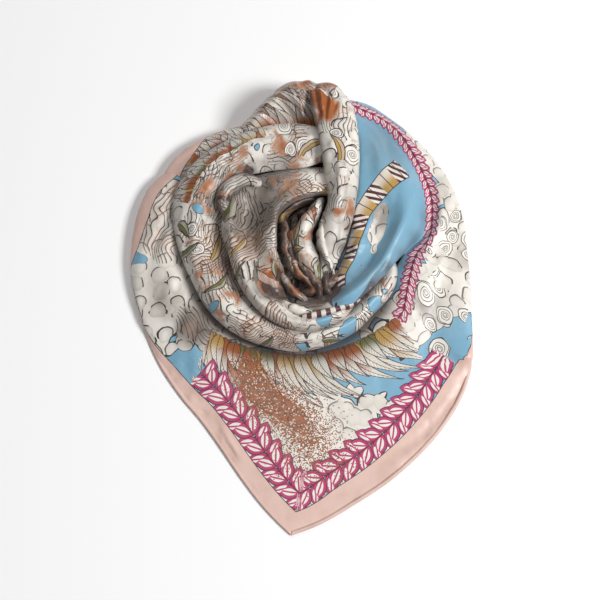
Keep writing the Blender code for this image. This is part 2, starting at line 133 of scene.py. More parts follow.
OUTLINE = (
    ("clock", "radius"),
    (13.8, 277), (20, 279), (30, 272), (43, 266), (59, 262), (77, 256), (87, 253), (96, 256), (104, 263), (112, 275),
    (118, 289), (123, 303), (128, 314), (141, 335), (151, 351), (161, 370), (170, 390), (177, 411), (182.8, 427),
    (188.7, 393), (194.3, 362), (202, 327), (210, 303), (221, 288), (232, 279), (244, 272), (256, 269), (268, 271),
    (279, 272), (289, 275), (297, 274), (304, 266),
)
SPREAD = (
    ("clock", "valley_r", "valley_z", "ridge_r", "ridge_z", "far_z", "brow_z", "turn"),
    (13.8, 249, 44, 261, 42, 36, 24, 18),
    (22, 248, 42, 260, 40, 34, 24, 22),
    (38, 240, 38, 250, 38, 33, 24, 24),
    (55, 226, 35, 242, 37, 31, 22, 26),
    (68, 211, 31, 231, 39, 32, 20, 26),
    (78, 193, 28, 212, 41, 31, 18, 26),
    (86, 160, 25, 186, 39, 28, 16, 26),
    (98, 140, 20, 174, 35, 26, 14, 26),
    (110, 134, 14, 166, 29, 21, 12, 26),
    (115, 132, 13, 164, 27, 18, 10, 16),
    (120, 131, 11, 164, 25, 15, 7.5, 5),
    (126, 131, 10, 167, 22, 12, 5, -6),
    (138, 132, 10, 170, 19, 9, 3.6, -12),
    (150, 133, 10, 174, 17, 7.5, 3.0, -16),
    (165, 135, 9, 184, 14, 6.5, 2.8, -18),
    (183, 141, 9, 194, 13, 6, 2.8, -20),
    (203, 145, 10, 190, 15, 8, 3.2, -16),
    (221, 151, 12, 196, 19, 11, 4, -14),
    (233, 155, 13, 199, 22, 15, 5.5, -10),
    (245, 159, 15, 203, 26, 19, 8, -2),
    (257, 163, 16, 207, 30, 23, 11, 6),
    (268, 172, 17, 215, 33, 27, 13, 10),
    (278, 182, 19, 226, 35, 29, 14, 10),
    (292, 208, 23, 240, 33, 28, 13, 8),
    (304, 214, 26, 240, 30, 25, 12, 6),
)
TURNED_UNDER = (  # how far inside the fold the cloth's own edge lies
    ("clock", "hidden"),
    (104, 42), (114, 38), (118, 30), (125, 12), (132, 4), (145, 1), (158, 1), (170, 3), (178, 8), (183, 8), (205, 10),
    (214, 11), (229, 18), (239, 29), (247, 33), (266, 37), (274, 21), (285, 10), (297, 8),
)
FIRST = (
    ("clock", "foot_r", "foot_z", "slope_r", "slope_z", "trough_r", "trough_z", "crest_r", "crest_z",
     "brow_r", "brow_z", "end_r", "end_z"),
    (13.8, 214, 44, 220, 52, 226, 57, 233, 58, 242, 53, 249, 44),
    (22, 196, 42, 204, 52, 211, 58, 220, 60, 235, 54, 248, 42),
    (29, 150, 40, 170, 53, 190, 58, 209, 60, 229, 53, 245, 40),
    (38, 104, 38, 136, 52, 160, 57, 196, 61, 222, 52, 240, 38),
    (55, 74, 34, 112, 54, 150, 55, 182, 62, 208, 50, 226, 35),
    (68, 58, 31, 100, 54, 138, 51, 164, 63, 191, 49, 211, 31),
    (78, 50, 29, 88, 52, 124, 50, 147, 65, 173, 49, 193, 28),
    (86, 45, 28, 78, 49, 112, 49, 135, 66, 155, 47, 160, 25),
    (98, 42, 27, 68, 44, 99, 48, 123, 67, 138, 52, 134, 32.4),
    (111, 44, 26, 66, 42, 88, 47, 112, 68, 124, 54, 119, 37),
    (124, 50, 26, 66, 40, 82, 47, 106, 67, 116, 55, 111, 40),
    (138, 60, 26, 70, 38, 80, 46, 101, 64, 111, 54, 107, 40),
    (155, 66, 26, 72, 36, 78, 42, 95, 57, 104, 48, 101, 36),
    (172, 66, 25, 70, 32, 75, 38, 88, 48, 95, 41, 92, 29),
    (190, 62, 24, 66, 28, 70, 32, 80, 38, 86, 32, 83, 21),
)


def named(table):
    """The table's columns by name, as arrays."""
    names, *rows = table
    return dict(zip(names, np.array(rows, float).T))


def through(knots, values, at):
    """A smooth curve through a column: cubic between rows, with each row's slope taken from the rows beside it."""
    slope = np.gradient(values, knots)
    i = np.clip(np.searchsorted(knots, at, side="right") - 1, 0, len(knots) - 2)
    step = knots[i + 1] - knots[i]
    t = np.clip((at - knots[i]) / step, 0, 1)
    return (
        values[i] * (1 + 2 * t) * (1 - t) ** 2
        + values[i + 1] * t * t * (3 - 2 * t)
        + step * slope[i] * t * (1 - t) ** 2
        - step * slope[i + 1] * t * t * (1 - t)
    )


def read(table, key, at):
    """Every column of a table at the given values of its key column."""
    columns = named(table)
    return {name: through(columns[key], column, at) for name, column in columns.items()}


def outline(clock):
    """The footprint's radius at a clock angle. The two sides of the corner are separate curves."""
    columns = named(OUTLINE)
    side = columns["clock"] <= CORNER_CLOCK
    right = through(columns["clock"][side], columns["radius"][side], clock)
    side = columns["clock"] >= CORNER_CLOCK
    left = through(columns["clock"][side], columns["radius"][side], clock)
    return np.where(clock <= CORNER_CLOCK, right, left)


def pairs(columns, *names):
    """The named (radius, height) points of every station."""
    return np.stack([np.stack([columns[n + "_r"], columns[n + "_z"]], axis=-1) for n in names], axis=1)


def across(points, cuts):
    """A smooth line through each station's points, with cuts[i] steps between point i and the next."""
    at = np.concatenate([np.arange(n) / n + i for i, n in enumerate(cuts)] + [[len(cuts)]])
    lines = []
    for station in points:
        chord = np.linalg.norm(np.diff(station, axis=0), axis=1)
        knots = np.concatenate([[0], np.cumsum(np.maximum(chord, 0.5))])
        where = np.interp(at, np.arange(len(knots)), knots)
        lines.append(np.stack([through(knots, column, where) for column in station.T], axis=-1))
    return np.array(lines)


def ring(clock, sections):
    """Sections of (radius, height) set round the eye, one at each clock angle."""
    turn = np.radians(clock)[:, None]
    radius, height = sections[..., 0], sections[..., 1]
    return np.stack([EYE[0] + radius * np.sin(turn), EYE[1] + radius * np.cos(turn), height], axis=-1)


def unrolled(clock, sections, start):
    """The cloth laid flat: a point goes as far from the eye as the start radius and the cloth's own length to it."""
    step = np.linalg.norm(np.diff(sections, axis=1), axis=2)
    reach = start[:, None] + np.concatenate([np.zeros((len(clock), 1)), np.cumsum(step, axis=1)], axis=1)
    turn = np.radians(clock)[:, None]
    return np.stack([reach * np.sin(turn), reach * np.cos(turn)], axis=-1)


def quads(rows, columns, first):
    """The faces of a grid of points, as rows of four indices, where the grid's own points start at first."""
    index = first + np.arange(rows * columns).reshape(rows, columns)
    return np.stack([index[:-1, :-1], index[:-1, 1:], index[1:, 1:], index[1:, :-1]], axis=-1).reshape(-1, 4)


class Cloth:
    """One piece of silk: its points, its faces, and for each point its place on the flat cloth, its distance to the
    cloth's edge, and the amounts that the print reads, which masks holds by name.
    """

    def __init__(self, *patches):
        """Each patch is (grid of points, the grid laid flat, distances to the edge). Points that meet are merged."""
        points = np.concatenate([p.reshape(-1, 3) for p, _, _ in patches])
        flat = np.concatenate([f.reshape(-1, 2) for _, f, _ in patches])
        edge = np.concatenate([np.broadcast_to(e, p.shape[:2]).reshape(-1) for p, _, e in patches])
        faces, first = [], 0
        for grid, _, _ in patches:
            faces.append(quads(*grid.shape[:2], first))
            first += grid.shape[0] * grid.shape[1]
        _, kept, index = np.unique(np.round(points, 3), axis=0, return_index=True, return_inverse=True)
        self.kept, self.points, self.flat, self.edge = kept, points[kept], flat[kept], edge[kept]
        self.faces = index.reshape(-1)[np.concatenate(faces)]
        top = self.points[:, 2] >= np.median(self.points[:, 2])
        if self.normals()[top, 2].mean() < 0:
            self.faces = self.faces[:, ::-1]
        self.masks = {"strand": np.linalg.norm(self.flat, axis=1) / STRAND_STEP}

    def normals(self):
        """The mean direction of the faces round each point."""
        corner = self.points[self.faces]
        facing = np.cross(corner[:, 2] - corner[:, 0], corner[:, 3] - corner[:, 1])
        total = np.zeros_like(self.points)
        for k in range(4):
            np.add.at(total, self.faces[:, k], facing)
        return total / np.maximum(np.linalg.norm(total, axis=1, keepdims=True), 1e-9)

    def polar(self):
        """The clock angle and the radius of every point."""
        x, y = self.points[:, 0] - EYE[0], self.points[:, 1] - EYE[1]
        return np.degrees(np.arctan2(x, y)) % 360, np.hypot(x, y)

    def gap(self, clock, radius):
        """Every point's distance, seen from above, from a clock angle and a radius."""
        x = EYE[0] + radius * math.sin(math.radians(clock))
        y = EYE[1] + radius * math.cos(math.radians(clock))
        return np.hypot(self.points[:, 0] - x, self.points[:, 1] - y)

    def crease(self, rows):
        """Soft ridges and troughs: each row's line is height x exp(-(distance / width)^2), fading at both its ends.

        The line runs from one clock angle and radius to another, bowed by so many millimetres of radius.
        """
        normals = self.normals()
        upper = np.flatnonzero(normals[:, 2] > UPPER_SLOPE)
        tree = KDTree(len(upper))
        for i in upper:
            tree.insert((self.points[i, 0], self.points[i, 1], 0), i)
        tree.balance()
        rise = np.zeros(len(self.points))
        t = np.linspace(0, 1, CREASE_STEPS)
        for clock, radius, clock_2, radius_2, bow, height, width in rows:
            turn = np.radians(clock + (clock_2 - clock) * t)
            out = radius + (radius_2 - radius) * t + bow * np.sin(np.pi * t)
            x, y = EYE[0] + out * np.sin(turn), EYE[1] + out * np.cos(turn)
            line = self.points[[tree.find((a, b, 0))[1] for a, b in zip(x, y)]]
            low, high = line.min(0) - 3 * width, line.max(0) + 3 * width
            near = np.flatnonzero(((self.points > low) & (self.points < high)).all(1))
            gap = np.linalg.norm(self.points[near, None] - line, axis=2)
            nearest = gap.argmin(1)
            fade = np.sin(np.pi * (0.02 + 0.96 * t[nearest])) ** 0.7
            rise[near] += height * fade * np.exp(-((gap.min(1) / width) ** 2))
        self.points += normals * rise[:, None]

    def rumple(self, height, size, seed):
        """A slight unevenness: a sum of waves of the flat cloth in seeded directions."""
        chance = np.random.default_rng(seed)
        rise = np.zeros(len(self.points))
        for _ in range(RUMPLE_WAVES):
            turn, phase = chance.uniform(0, 2 * np.pi), chance.uniform(0, 2 * np.pi)
            stretch = chance.uniform(0.7, 1.6)
            along = self.flat @ (np.sin(turn), np.cos(turn))
            rise += np.sin(2 * np.pi * along / (size * stretch) + phase)
        self.points += self.normals() * (height * rise / RUMPLE_WAVES)[:, None]

    def paint(self, **amounts):
        """Amounts 0 to 1 for print and painted shading, by name: a base or, as a tuple, a base and soft round patches.

        A patch is a clock angle, a radius, a reach and how much more or less there is in its middle.
        """
        for name, amount in amounts.items():
            base, *patches = amount if isinstance(amount, tuple) else (amount,)
            self.masks[name] = np.full(len(self.points), float(base))
            for clock, radius, reach, extra in patches:
                self.masks[name] += extra * np.exp(-((self.gap(clock, radius) / reach) ** 2))

    def paint_shade_across(self, rows, shares, amounts):
        """Painted shading towards the edges that tuck under: an amount of it for each share of the way across."""
        across_rows = np.tile(np.linspace(0, 1, (self.kept.max() // rows) + 1), rows)
        self.masks["painted_shade"] = self.masks.get("painted_shade", 0) + np.interp(across_rows[self.kept], shares, amounts)

    def at(self, clock, radius):
        """The place on the flat cloth of the upper point nearest to a clock angle and a radius."""
        return self.flat[(self.gap(clock, radius) - 0.5 * self.points[:, 2]).argmin()]

    def trail(self, kind, size, stops):
        """A line of motifs of one kind and size through these places; where lines cross, the nearest counts."""
        flat = np.array([self.at(*stop) for stop in stops])
        at = np.linspace(0, len(stops) - 1, 40 * len(stops))
        line = np.stack([through(np.arange(len(stops)), column, at) for column in flat.T], axis=1)
        ahead = np.gradient(line, axis=0)
        ahead /= np.linalg.norm(ahead, axis=1, keepdims=True)
        length = np.concatenate([[0], np.cumsum(np.linalg.norm(np.diff(line, axis=0), axis=1))])
        gap = self.flat[:, None] - line[None]
        nearest = np.linalg.norm(gap, axis=2).argmin(1)
        off = gap[np.arange(len(gap)), nearest]
        way = ahead[nearest]
        left = off[:, 1] * way[:, 0] - off[:, 0] * way[:, 1]
        inside = np.minimum(nearest, len(line) - 1 - nearest) > 0
        self.lay(kind, size, left, length[nearest] + (off * way).sum(1), inside)

    def lay(self, kind, size, left, along, inside):
        """Sets a trail's amounts: millimetres to the left of its line and along it, and the motifs' size."""
        far = np.full(len(self.points), 1e3)
        taken = inside & (abs(left) < abs(self.masks.get(kind + "_left", far)))
        for part, value, other in (("_left", left, far), ("_along", along, far), ("", size, 0 * far)):
            self.masks[kind + part] = np.where(taken, value, self.masks.get(kind + part, other))

    def make(self, name, material):
        """The mesh object: metres, smooth, the flat cloth as its UV map, and a thin wall inwards."""
        mesh = bpy.data.meshes.new(name)
        whole = (np.sort(self.faces, axis=1)[:, 1:] != np.sort(self.faces, axis=1)[:, :-1]).all(1)
        pinched = [tuple(dict.fromkeys(face)) for face in self.faces[~whole].tolist()]
        mesh.from_pydata(self.points * MM, [], [*self.faces[whole].tolist(), *(f for f in pinched if len(f) == 3)])
        mesh.polygons.foreach_set("use_smooth", np.ones(len(mesh.polygons), bool))
        corners = np.empty(len(mesh.loops), np.int32)
        mesh.loops.foreach_get("vertex_index", corners)
        layer = mesh.uv_layers.new(name="flat_cloth")
        layer.uv.foreach_set("vector", (self.flat[corners] * MM).astype(np.float32).ravel())
        for key, amount in {"edge": self.edge, **self.masks}.items():
            mesh.attributes.new(key, "FLOAT", "POINT").data.foreach_set("value", amount.astype(np.float32))
        mesh.materials.append(material)
        piece = bpy.data.objects.new(name, mesh)
        bpy.context.scene.collection.objects.link(piece)
        wall = piece.modifiers.new("thickness", "SOLIDIFY")
        wall.thickness = CLOTH * MM
        wall.offset = -1
        return piece


def joined_stretch():
    """The patches of the inner turn and of the spread part, and each point's place along the border.

    Up to JOIN_CLOCK a section of the two is one smooth line, which fades into two lines after it.
    """
    both = JOIN_STEPS
    shared = np.linspace(START_CLOCK, JOIN_CLOCK, both)
    first_at = np.concatenate([shared, np.linspace(JOIN_CLOCK, FIRST_END_CLOCK, 110)[1:]])
    to_corner, past_corner = (JOIN_CLOCK, CORNER_CLOCK, 120), (CORNER_CLOCK, SPREAD_END_CLOCK, 130)
    spread_at = np.concatenate([shared, np.linspace(*to_corner)[1:], np.linspace(*past_corner)[1:]])
    spread, first = read(SPREAD, "clock", spread_at), read(FIRST, "clock", first_at)
    radius = outline(spread_at)
    spread["far_r"] = (spread["ridge_r"] + radius) / 2
    spread["brow_r"] = radius + np.minimum(spread["turn"], 0)
    spread["end_r"] = radius - np.maximum(spread["turn"], 0)
    spread["end_z"] = np.full_like(radius, TABLE_GAP)
    near = pairs(first, "foot", "slope", "trough", "crest", "brow", "end")
    out = pairs(spread, "valley", "ridge", "far", "brow", "end")
    near_cuts, out_cuts = (9, 12, 14, 14, 12), (22, 22, 24, 16)
    near_line, out_line = across(near, near_cuts), across(out, out_cuts)
    whole = across(np.concatenate([near[:both], out[:both, 1:]], axis=1), near_cuts + out_cuts)
    share = np.clip((JOIN_CLOCK - first_at[:both]) / JOIN_FADE, 0, 1)
    share = (share * share * (3 - 2 * share))[:, None, None]
    seam = sum(near_cuts)
    near_line[:both] = near_line[:both] * (1 - share) + whole[:, : seam + 1] * share
    out_line[:both] = out_line[:both] * (1 - share) + whole[:, seam:] * share
    near_line[:both, -1] = out_line[:both, 0]

    near_flat = unrolled(first_at, near_line, first["foot_r"])
    seam_reach = np.linalg.norm(near_flat[:, -1], axis=1)
    extra = np.interp(spread_at, first_at[:both], seam_reach[:both] - spread["valley_r"][:both])
    extra *= np.clip((EASE_CLOCK - spread_at) / (EASE_CLOCK - JOIN_CLOCK), 0, 1)
    out_flat = unrolled(spread_at, out_line, spread["valley_r"] + extra)
    near_flat[:both, -1] = out_flat[:both, 0]

    brow = sum(out_cuts[:3])
    fold = np.where(spread["turn"][:, None] < 0, out_flat[:, -1], out_flat[:, brow])
    under = named(TURNED_UNDER)
    hidden = np.interp(spread_at, under["clock"], under["hidden"])
    gap = np.linalg.norm(out_flat[:, :, None] - fold[None, None], axis=3)
    nearest = gap.argmin(axis=2)
    way = np.gradient(fold, axis=0)
    way /= np.linalg.norm(way, axis=1, keepdims=True)
    along = np.concatenate([[0], np.cumsum(np.linalg.norm(np.diff(fold, axis=0), axis=1))])[nearest]
    along += ((out_flat - fold[nearest]) * way[nearest]).sum(-1)
    edge = gap.min(axis=2) + hidden[nearest]
    patches = (
        (ring(first_at, near_line), near_flat, np.full(near_line.shape[:2], NO_EDGE)),
        (ring(spread_at, out_line), out_flat, edge),
    )
    return patches, np.concatenate([np.zeros(near_line[..., 0].size), along.ravel()])


INK = (0.035, 0.028, 0.03)
SKY = (0.18, 0.375, 0.51)
IVORY = (0.77, 0.725, 0.66)
SHADE = (0.25, 0.215, 0.185)
BLUSH = (0.70, 0.485, 0.42)
DUSKY_BLUSH = (0.50, 0.31, 0.25)
RUST = (0.34, 0.10, 0.024)
CLAY = (0.43, 0.21, 0.115)
GOLD = (0.47, 0.28, 0.07)
OLIVE = (0.17, 0.165, 0.055)
MAROON = (0.09, 0.02, 0.025)
# Umber is the print's darkest brown and also the colour of the painted shading.
UMBER = (0.06, 0.035, 0.03)
MAGENTA = (0.46, 0.035, 0.15)

FULL_TURN = 2 * math.pi

# The print's measures, in millimetres.
BORDER_WIDTH = 38.0  # from the cloth's edge to the printed line
BORDER_LINE = 1.3
GARLAND_STEP = 16.0  # from one pair of leaves to the next, at size 1
GARLAND_INSET = 24  # from the printed line to the corner's garland
GARLAND_RIM = 0.8
FAN_STEP = 25.0  # from one feather to the next
FEATHER_HALF = FAN_STEP * 0.42
FEATHER_RIM = 1.3
LEAF_RIM = 1.8
MIDRIB = 0.5  # half the width of the rib of a leaf or a feather
STRAND_STEP = 6.5  # from one flowing line to the next
HATCH_STEP = 4.8  # from one parallel line to the next
HATCH_PATCH = 84  # across one patch of parallel lines
PUFF = 27  # across one puff of cloud
PUFF_RIM = 0.46  # where a puff's arc lies, in puffs from its middle
SCROLL_SPACE = 37  # from one scroll to the next
SCROLL_REACH = (9.5, 17.5)  # the least and the most radius of a scroll
RIBBON_LENGTH = 52  # of ribbon from one striped length to the next
RIBBON_STRIPE = 10.5
RIBBON_RIM = 1.4
BAND = 15  # from one maroon band to the next
GRAIN = 1.5  # from one speck of dust to the next
WANDER = 18  # how far the motifs wander from a regular place
STITCH = 5.0  # from one hem stitch to the next
STITCH_INSET = 4.5  # from the cloth's edge to the stitches
STITCH_WIDTH = 0.7
RIB = 0.9  # from one twill rib to the next


class Value:
    """A socket on its way through the nodes. Sums, products and comparisons of values add Math nodes."""

    def __init__(self, graph, socket):
        self.graph, self.socket = graph, socket

    def maths(self, operation, *others):
        return self.graph.add("ShaderNodeMath", {"operation": operation}, self, *others)

    def __add__(self, other):
        return self.maths("ADD", other)

    __radd__ = __add__

    def __sub__(self, other):
        return self.maths("SUBTRACT", other)

    def __rsub__(self, other):
        return self.graph.add("ShaderNodeMath", {"operation": "SUBTRACT"}, other, self)

    def __mul__(self, other):
        return self.maths("MULTIPLY", other)

    __rmul__ = __mul__

    def __truediv__(self, other):
        return self.maths("DIVIDE", other)

    def __gt__(self, other):
        return self.maths("GREATER_THAN", other)

    def __lt__(self, other):
        return self.maths("LESS_THAN", other)

    def __abs__(self):
        return self.maths("ABSOLUTE")


class Graph:
    """A material's nodes."""

    def __init__(self, material):
        material.use_nodes = True
        self.tree = material.node_tree
        self.surface = self.tree.nodes["Principled BSDF"]

    def put(self, socket, value):
        """Sets a socket to a number or a colour, or links a value to it."""
        if isinstance(value, Value):
            self.tree.links.new(value.socket, socket)
        elif hasattr(value, "__len__") and len(value) == 3 and len(socket.default_value) == 4:
            socket.default_value = (*value, 1)
        else:
            socket.default_value = value

    def add(self, kind, settings, *values, output=0, **sockets):
        """One node: its settings first, then its sockets in order or by name. The result is one of its outputs."""
        node = self.tree.nodes.new(kind)
        for name, setting in settings.items():
            setattr(node, name, setting)
        for socket, value in zip(node.inputs, values):
            self.put(socket, value)
        for name, value in sockets.items():
            self.put(node.inputs[name], value)
        return Value(self, node.outputs[output])

    def amount(self, name):
        """A float attribute of the cloth."""
        return self.add("ShaderNodeAttribute", {"attribute_name": name}, output="Fac")

    def vector(self, operation, *values, **sockets):
        return self.add("ShaderNodeVectorMath", {"operation": operation}, *values, **sockets)

    def axes(self, vector):
        return [self.add("ShaderNodeSeparateXYZ", {}, vector, output=name) for name in "XYZ"[:2]]

    def noise(self, at, size, detail, output=0):
        """Soft noise with features of about so many millimetres."""
        return self.add(
            "ShaderNodeTexNoise", {"noise_dimensions": "2D"}, output=output, Vector=at, Scale=1 / size, Detail=detail,
        )

    def cells(self, at, size, output, randomness):
        """Cells of about so many millimetres: Distance (in cells), Color (a chance for each cell) or Position."""
        return self.add(
            "ShaderNodeTexVoronoi", {"voronoi_dimensions": "2D"}, output=output,
            Vector=self.vector("SCALE", at, Scale=1 / size), Scale=1.0, Randomness=randomness,
        )

    def paint(self, under, over, share):
        """One colour painted over another."""
        return self.add("ShaderNodeMixRGB", {}, share, under, over)

    def soft(self, value, low, high):
        """0 below low, 1 above high and a smooth step between."""
        return self.add("ShaderNodeMapRange", {"interpolation_type": "SMOOTHSTEP"}, value, low, high)

    def line(self, value, place, width):
        """1 within half a width of a place."""
        return abs(value - place) < width / 2

    def spots(self, at, size, randomness):
        """A motif's own coordinates in each cell: its x and y turned by chance, and three chances from 0 to 1."""
        chance = self.cells(at, size, "Color", randomness)
        middle = self.cells(at, size, "Position", randomness)
        local = self.vector("SUBTRACT", self.vector("SCALE", at, Scale=1 / size), middle)
        picks = [self.add("ShaderNodeSeparateColor", {}, chance, output=name) for name in ("Red", "Green", "Blue")]
        angle = picks[0] * FULL_TURN
        turned = self.add("ShaderNodeVectorRotate", {"rotation_type": "Z_AXIS"}, Vector=local, Angle=angle)
        x, y = self.axes(turned)
        return x * size, y * size, picks


def leaves(graph, colour, at, size, length, width, wanted, tints, vein):
    """Pointed leaves, one in each cell, with a rib and veins.

    A leaf is where |y| < half its width x (1 - (x / half its length)^2), with y bent a little along x.
    """
    x, y, (_, pick, tint) = graph.spots(at, size, 0.7)
    bent = y + x * x * (0.4 / length)
    share = x / (length / 2)
    depth = (1 - share * share) * (width / 2) - abs(bent)
    shown = pick < wanted
    fill = graph.paint(tints[0], tints[1], tint > 0.33)
    fill = graph.paint(fill, tints[2], tint > 0.66)
    fill = graph.paint(fill, IVORY, (bent > 0) * 0.4)
    veins = ((abs(bent) * 1.4 + x) / vein).maths("FRACT") < 0.2
    fill = graph.paint(fill, INK, veins * 0.75)
    fill = graph.paint(fill, INK, abs(bent) < MIDRIB)
    colour = graph.paint(colour, fill, (depth > 0) * shown)
    return graph.paint(colour, INK, graph.line(depth, 0, LEAF_RIM) * shown)


def hatching(graph, colour, at, wanted):
    """Engraved shading: slightly bent parallel lines in patches, each patch in its own direction."""
    x, y, (_, pick, tint) = graph.spots(at, HATCH_PATCH, 0.9)
    wave = graph.noise(at, 40, 1.0)
    strand = ((y + x * x * 0.006 + wave * 16) / (graph.amount("pitch") + HATCH_STEP)).maths("FRACT")
    shown = pick < wanted
    colour = graph.paint(colour, graph.paint(SHADE, CLAY, tint > 0.5), shown * (strand < 0.6) * 0.45)
    return graph.paint(colour, graph.paint(INK, RUST, tint * 0.5), (strand < 0.25) * shown)


def scrolls(graph, colour, at, wanted):
    """Round scrolls of one spiral line: the fraction of log radius x 1.7 - angle in turns, inked near a half."""
    x, y, (_, pick, size) = graph.spots(at, SCROLL_SPACE, 0.7)
    radius = (x * x + y * y).maths("SQRT")
    least, most = SCROLL_REACH
    reach = size * (most - least) + least
    turns = (radius.maths("LOGARITHM", math.e) * 1.7 - y.maths("ARCTAN2", x) / FULL_TURN).maths("FRACT")
    shown = (pick < wanted) * (radius < reach)
    colour = graph.paint(colour, IVORY, shown)
    line = abs(turns - 0.5) * radius < radius * 0.035 + 0.65
    colour = graph.paint(colour, INK, line * shown * (radius > 1.8) * 0.95)
    return graph.paint(colour, INK, graph.line(radius - reach, 0, 1.4) * (pick < wanted))


def garland(graph, colour):
    """Pairs of pointed leaves with thick rims on a stem, along the cloth's garland line.

    A leaf is where |v| < 5.8 x (1 - u^2 / 90), with u along the leaf and v across it. There are two sets, half a step
    apart, each at its own tilt from the stem.
    """
    left, along, size = (graph.amount("garland" + name) for name in ("_left", "_along", ""))
    shown = size > 0.1
    beside = abs(left) / size
    for shift, tilt in ((0.0, 1.0), (0.5, 0.62)):
        x = ((along / (size * GARLAND_STEP) + shift).maths("FRACT") - 0.5) * GARLAND_STEP
        u = (x + 4) * math.cos(tilt) + beside * math.sin(tilt) - 8.5
        v = beside * math.cos(tilt) - (x + 4) * math.sin(tilt)
        depth = (1 - u * u / 90) * 5.8 - abs(v)
        fill = graph.paint(MAGENTA, IVORY, (depth > 2.8) * (abs(v) > 0.7))
        colour = graph.paint(colour, fill, (depth > 0) * shown)
        colour = graph.paint(colour, INK, graph.line(depth, 0, GARLAND_RIM) * shown)
    return graph.paint(colour, MAROON, (abs(left) < 0.9) * shown)


def fan(graph, colour):
    """Long curved feathers in three rows, rooted on the cloth's fan line: width x sin(pi x share of length ^ 0.6)."""
    left, along, length = (graph.amount("fan" + name) for name in ("_left", "_along", ""))
    for row in (2, 1, 0):
        place = along / FAN_STEP + row / 3 + left * left * 0.0003
        number = place.maths("FLOOR") + row * 37
        x = (place.maths("FRACT") - 0.5) * FAN_STEP
        chance = ((number * 12.99).maths("SINE") * 4375.5).maths("FRACT")
        second = ((number * 78.23).maths("SINE") * 2437.5).maths("FRACT")
        share = left / (length * (chance * 0.4 + (0.4 + row * 0.14)))
        half = (share.maths("MAXIMUM", 0.0).maths("POWER", 0.6) * math.pi).maths("SINE") * FEATHER_HALF
        shown = (left > 0) * (share < 1) * (length > 1)
        depth = half - abs(x + (share - 0.5) * (chance - 0.5) * 5)
        fill = graph.paint(OLIVE, GOLD, chance > 0.45)
        fill = graph.paint(fill, RUST, second < graph.amount("rust"))
        fill = graph.paint(fill, IVORY, graph.soft(share + second * 0.4, 0.35, 0.8) * 0.9)
        barbs = ((left - abs(x) * 1.5) / 5.0).maths("FRACT") < 0.2
        fill = graph.paint(fill, INK, barbs * 0.6)
        fill = graph.paint(fill, INK, abs(x) < MIDRIB)
        colour = graph.paint(colour, fill, (depth > 0) * shown)
        colour = graph.paint(colour, INK, graph.line(depth, 0, FEATHER_RIM) * shown)
    return colour


def ribbon(graph, colour):
    """A tapered ribbon along the cloth's ribbon line, in lengths of gold between lengths of narrow cross stripes."""
    left, along, half = (graph.amount("ribbon" + name) for name in ("_left", "_along", ""))
    depth = half * (0.55 + 0.0045 * along) - abs(left)
    banded = (along / RIBBON_LENGTH).maths("FRACT") < 0.5
    stripe = ((along + left * 0.5) / RIBBON_STRIPE).maths("FRACT") < 0.5
    gold = graph.paint(GOLD, IVORY, graph.soft(left / half, -0.8, 0.9) * 0.8)
    fill = graph.paint(gold, graph.paint(IVORY, MAROON, stripe), banded)
    fill = graph.paint(fill, INK, graph.line((along / (RIBBON_LENGTH / 2)).maths("FRACT"), 0.5, 0.05))
    colour = graph.paint(colour, fill, (depth > 0) * (half > 1))
    return graph.paint(colour, INK, graph.line(depth, 0, RIBBON_RIM) * (half > 1))


def flowing(graph, colour, at, wanted):
    """Long engraved lines that follow the cloth's strands: levels of the strand's number plus a slow noise."""
    level = (graph.noise(at, 60, 1.0) * 7 + graph.amount("strand")).maths("FRACT")
    shown = graph.noise(at, 50, 1.0) + wanted > 1.0
    tone = graph.paint(SHADE, CLAY, graph.noise(at, 34, 0.0) > 0.55)
    colour = graph.paint(colour, tone, (level < 0.5) * shown * 0.26)
    line = graph.paint(INK, RUST, graph.soft(graph.noise(at, 40, 1.0), 0.42, 0.6) * 0.6)
    return graph.paint(colour, line, (level < 0.21) * shown)


def clouds(graph, colour, at, shifted, wanted):
    """Puffs of cloud, shaded up to their rims, each with an inked arc over its upper side. Also gives the puffs."""
    puff = graph.cells(at, PUFF, "Distance", 0.9)
    middle = graph.cells(at, PUFF, "Position", 0.9)
    above = graph.axes(graph.vector("SUBTRACT", graph.vector("SCALE", at, Scale=1 / PUFF), middle))[1]
    colour = graph.paint(colour, SHADE, graph.soft(puff, 0.15, 0.5) * (puff < PUFF_RIM) * wanted * 0.4)
    arcs = graph.line(puff, PUFF_RIM, 0.075) * (above > -0.16) * (graph.noise(shifted, 18, 0.0) > 0.36)
    return graph.paint(colour, INK, arcs * wanted * 1.4), puff


def earthy(graph, colour, at):
    """Ragged patches of clay with an inked outline, rust in their middles, and umber patches, partly painted shading.
    """
    clay = graph.noise(at, 30, 3.0) + graph.amount("rust")
    colour = graph.paint(colour, CLAY, graph.soft(clay, 0.94, 1.08) * 0.85)
    colour = graph.paint(colour, RUST, graph.soft(clay, 1.05, 1.25))
    colour = graph.paint(colour, INK, graph.line(clay, 0.94, 0.014) * 0.8)
    umber_and_shade = graph.noise(at, 26, 2.0) + graph.amount("umber_and_shade")
    return graph.paint(colour, UMBER, graph.soft(umber_and_shade, 0.92, 1.02) * 0.9)


def speckled(graph, colour, at):
    """Specks of rust and umber: a cell is one where its chance is under the cloth's amount of dust."""
    chance = graph.add("ShaderNodeSeparateColor", {}, graph.cells(at, GRAIN, "Color", 1.0), output="Red")
    dust = graph.amount("dust").maths("MINIMUM", 0.9)
    speck = graph.paint(RUST, UMBER, (chance < dust * 0.4) * 0.7)
    return graph.paint(colour, speck, (chance < dust) * 0.95)


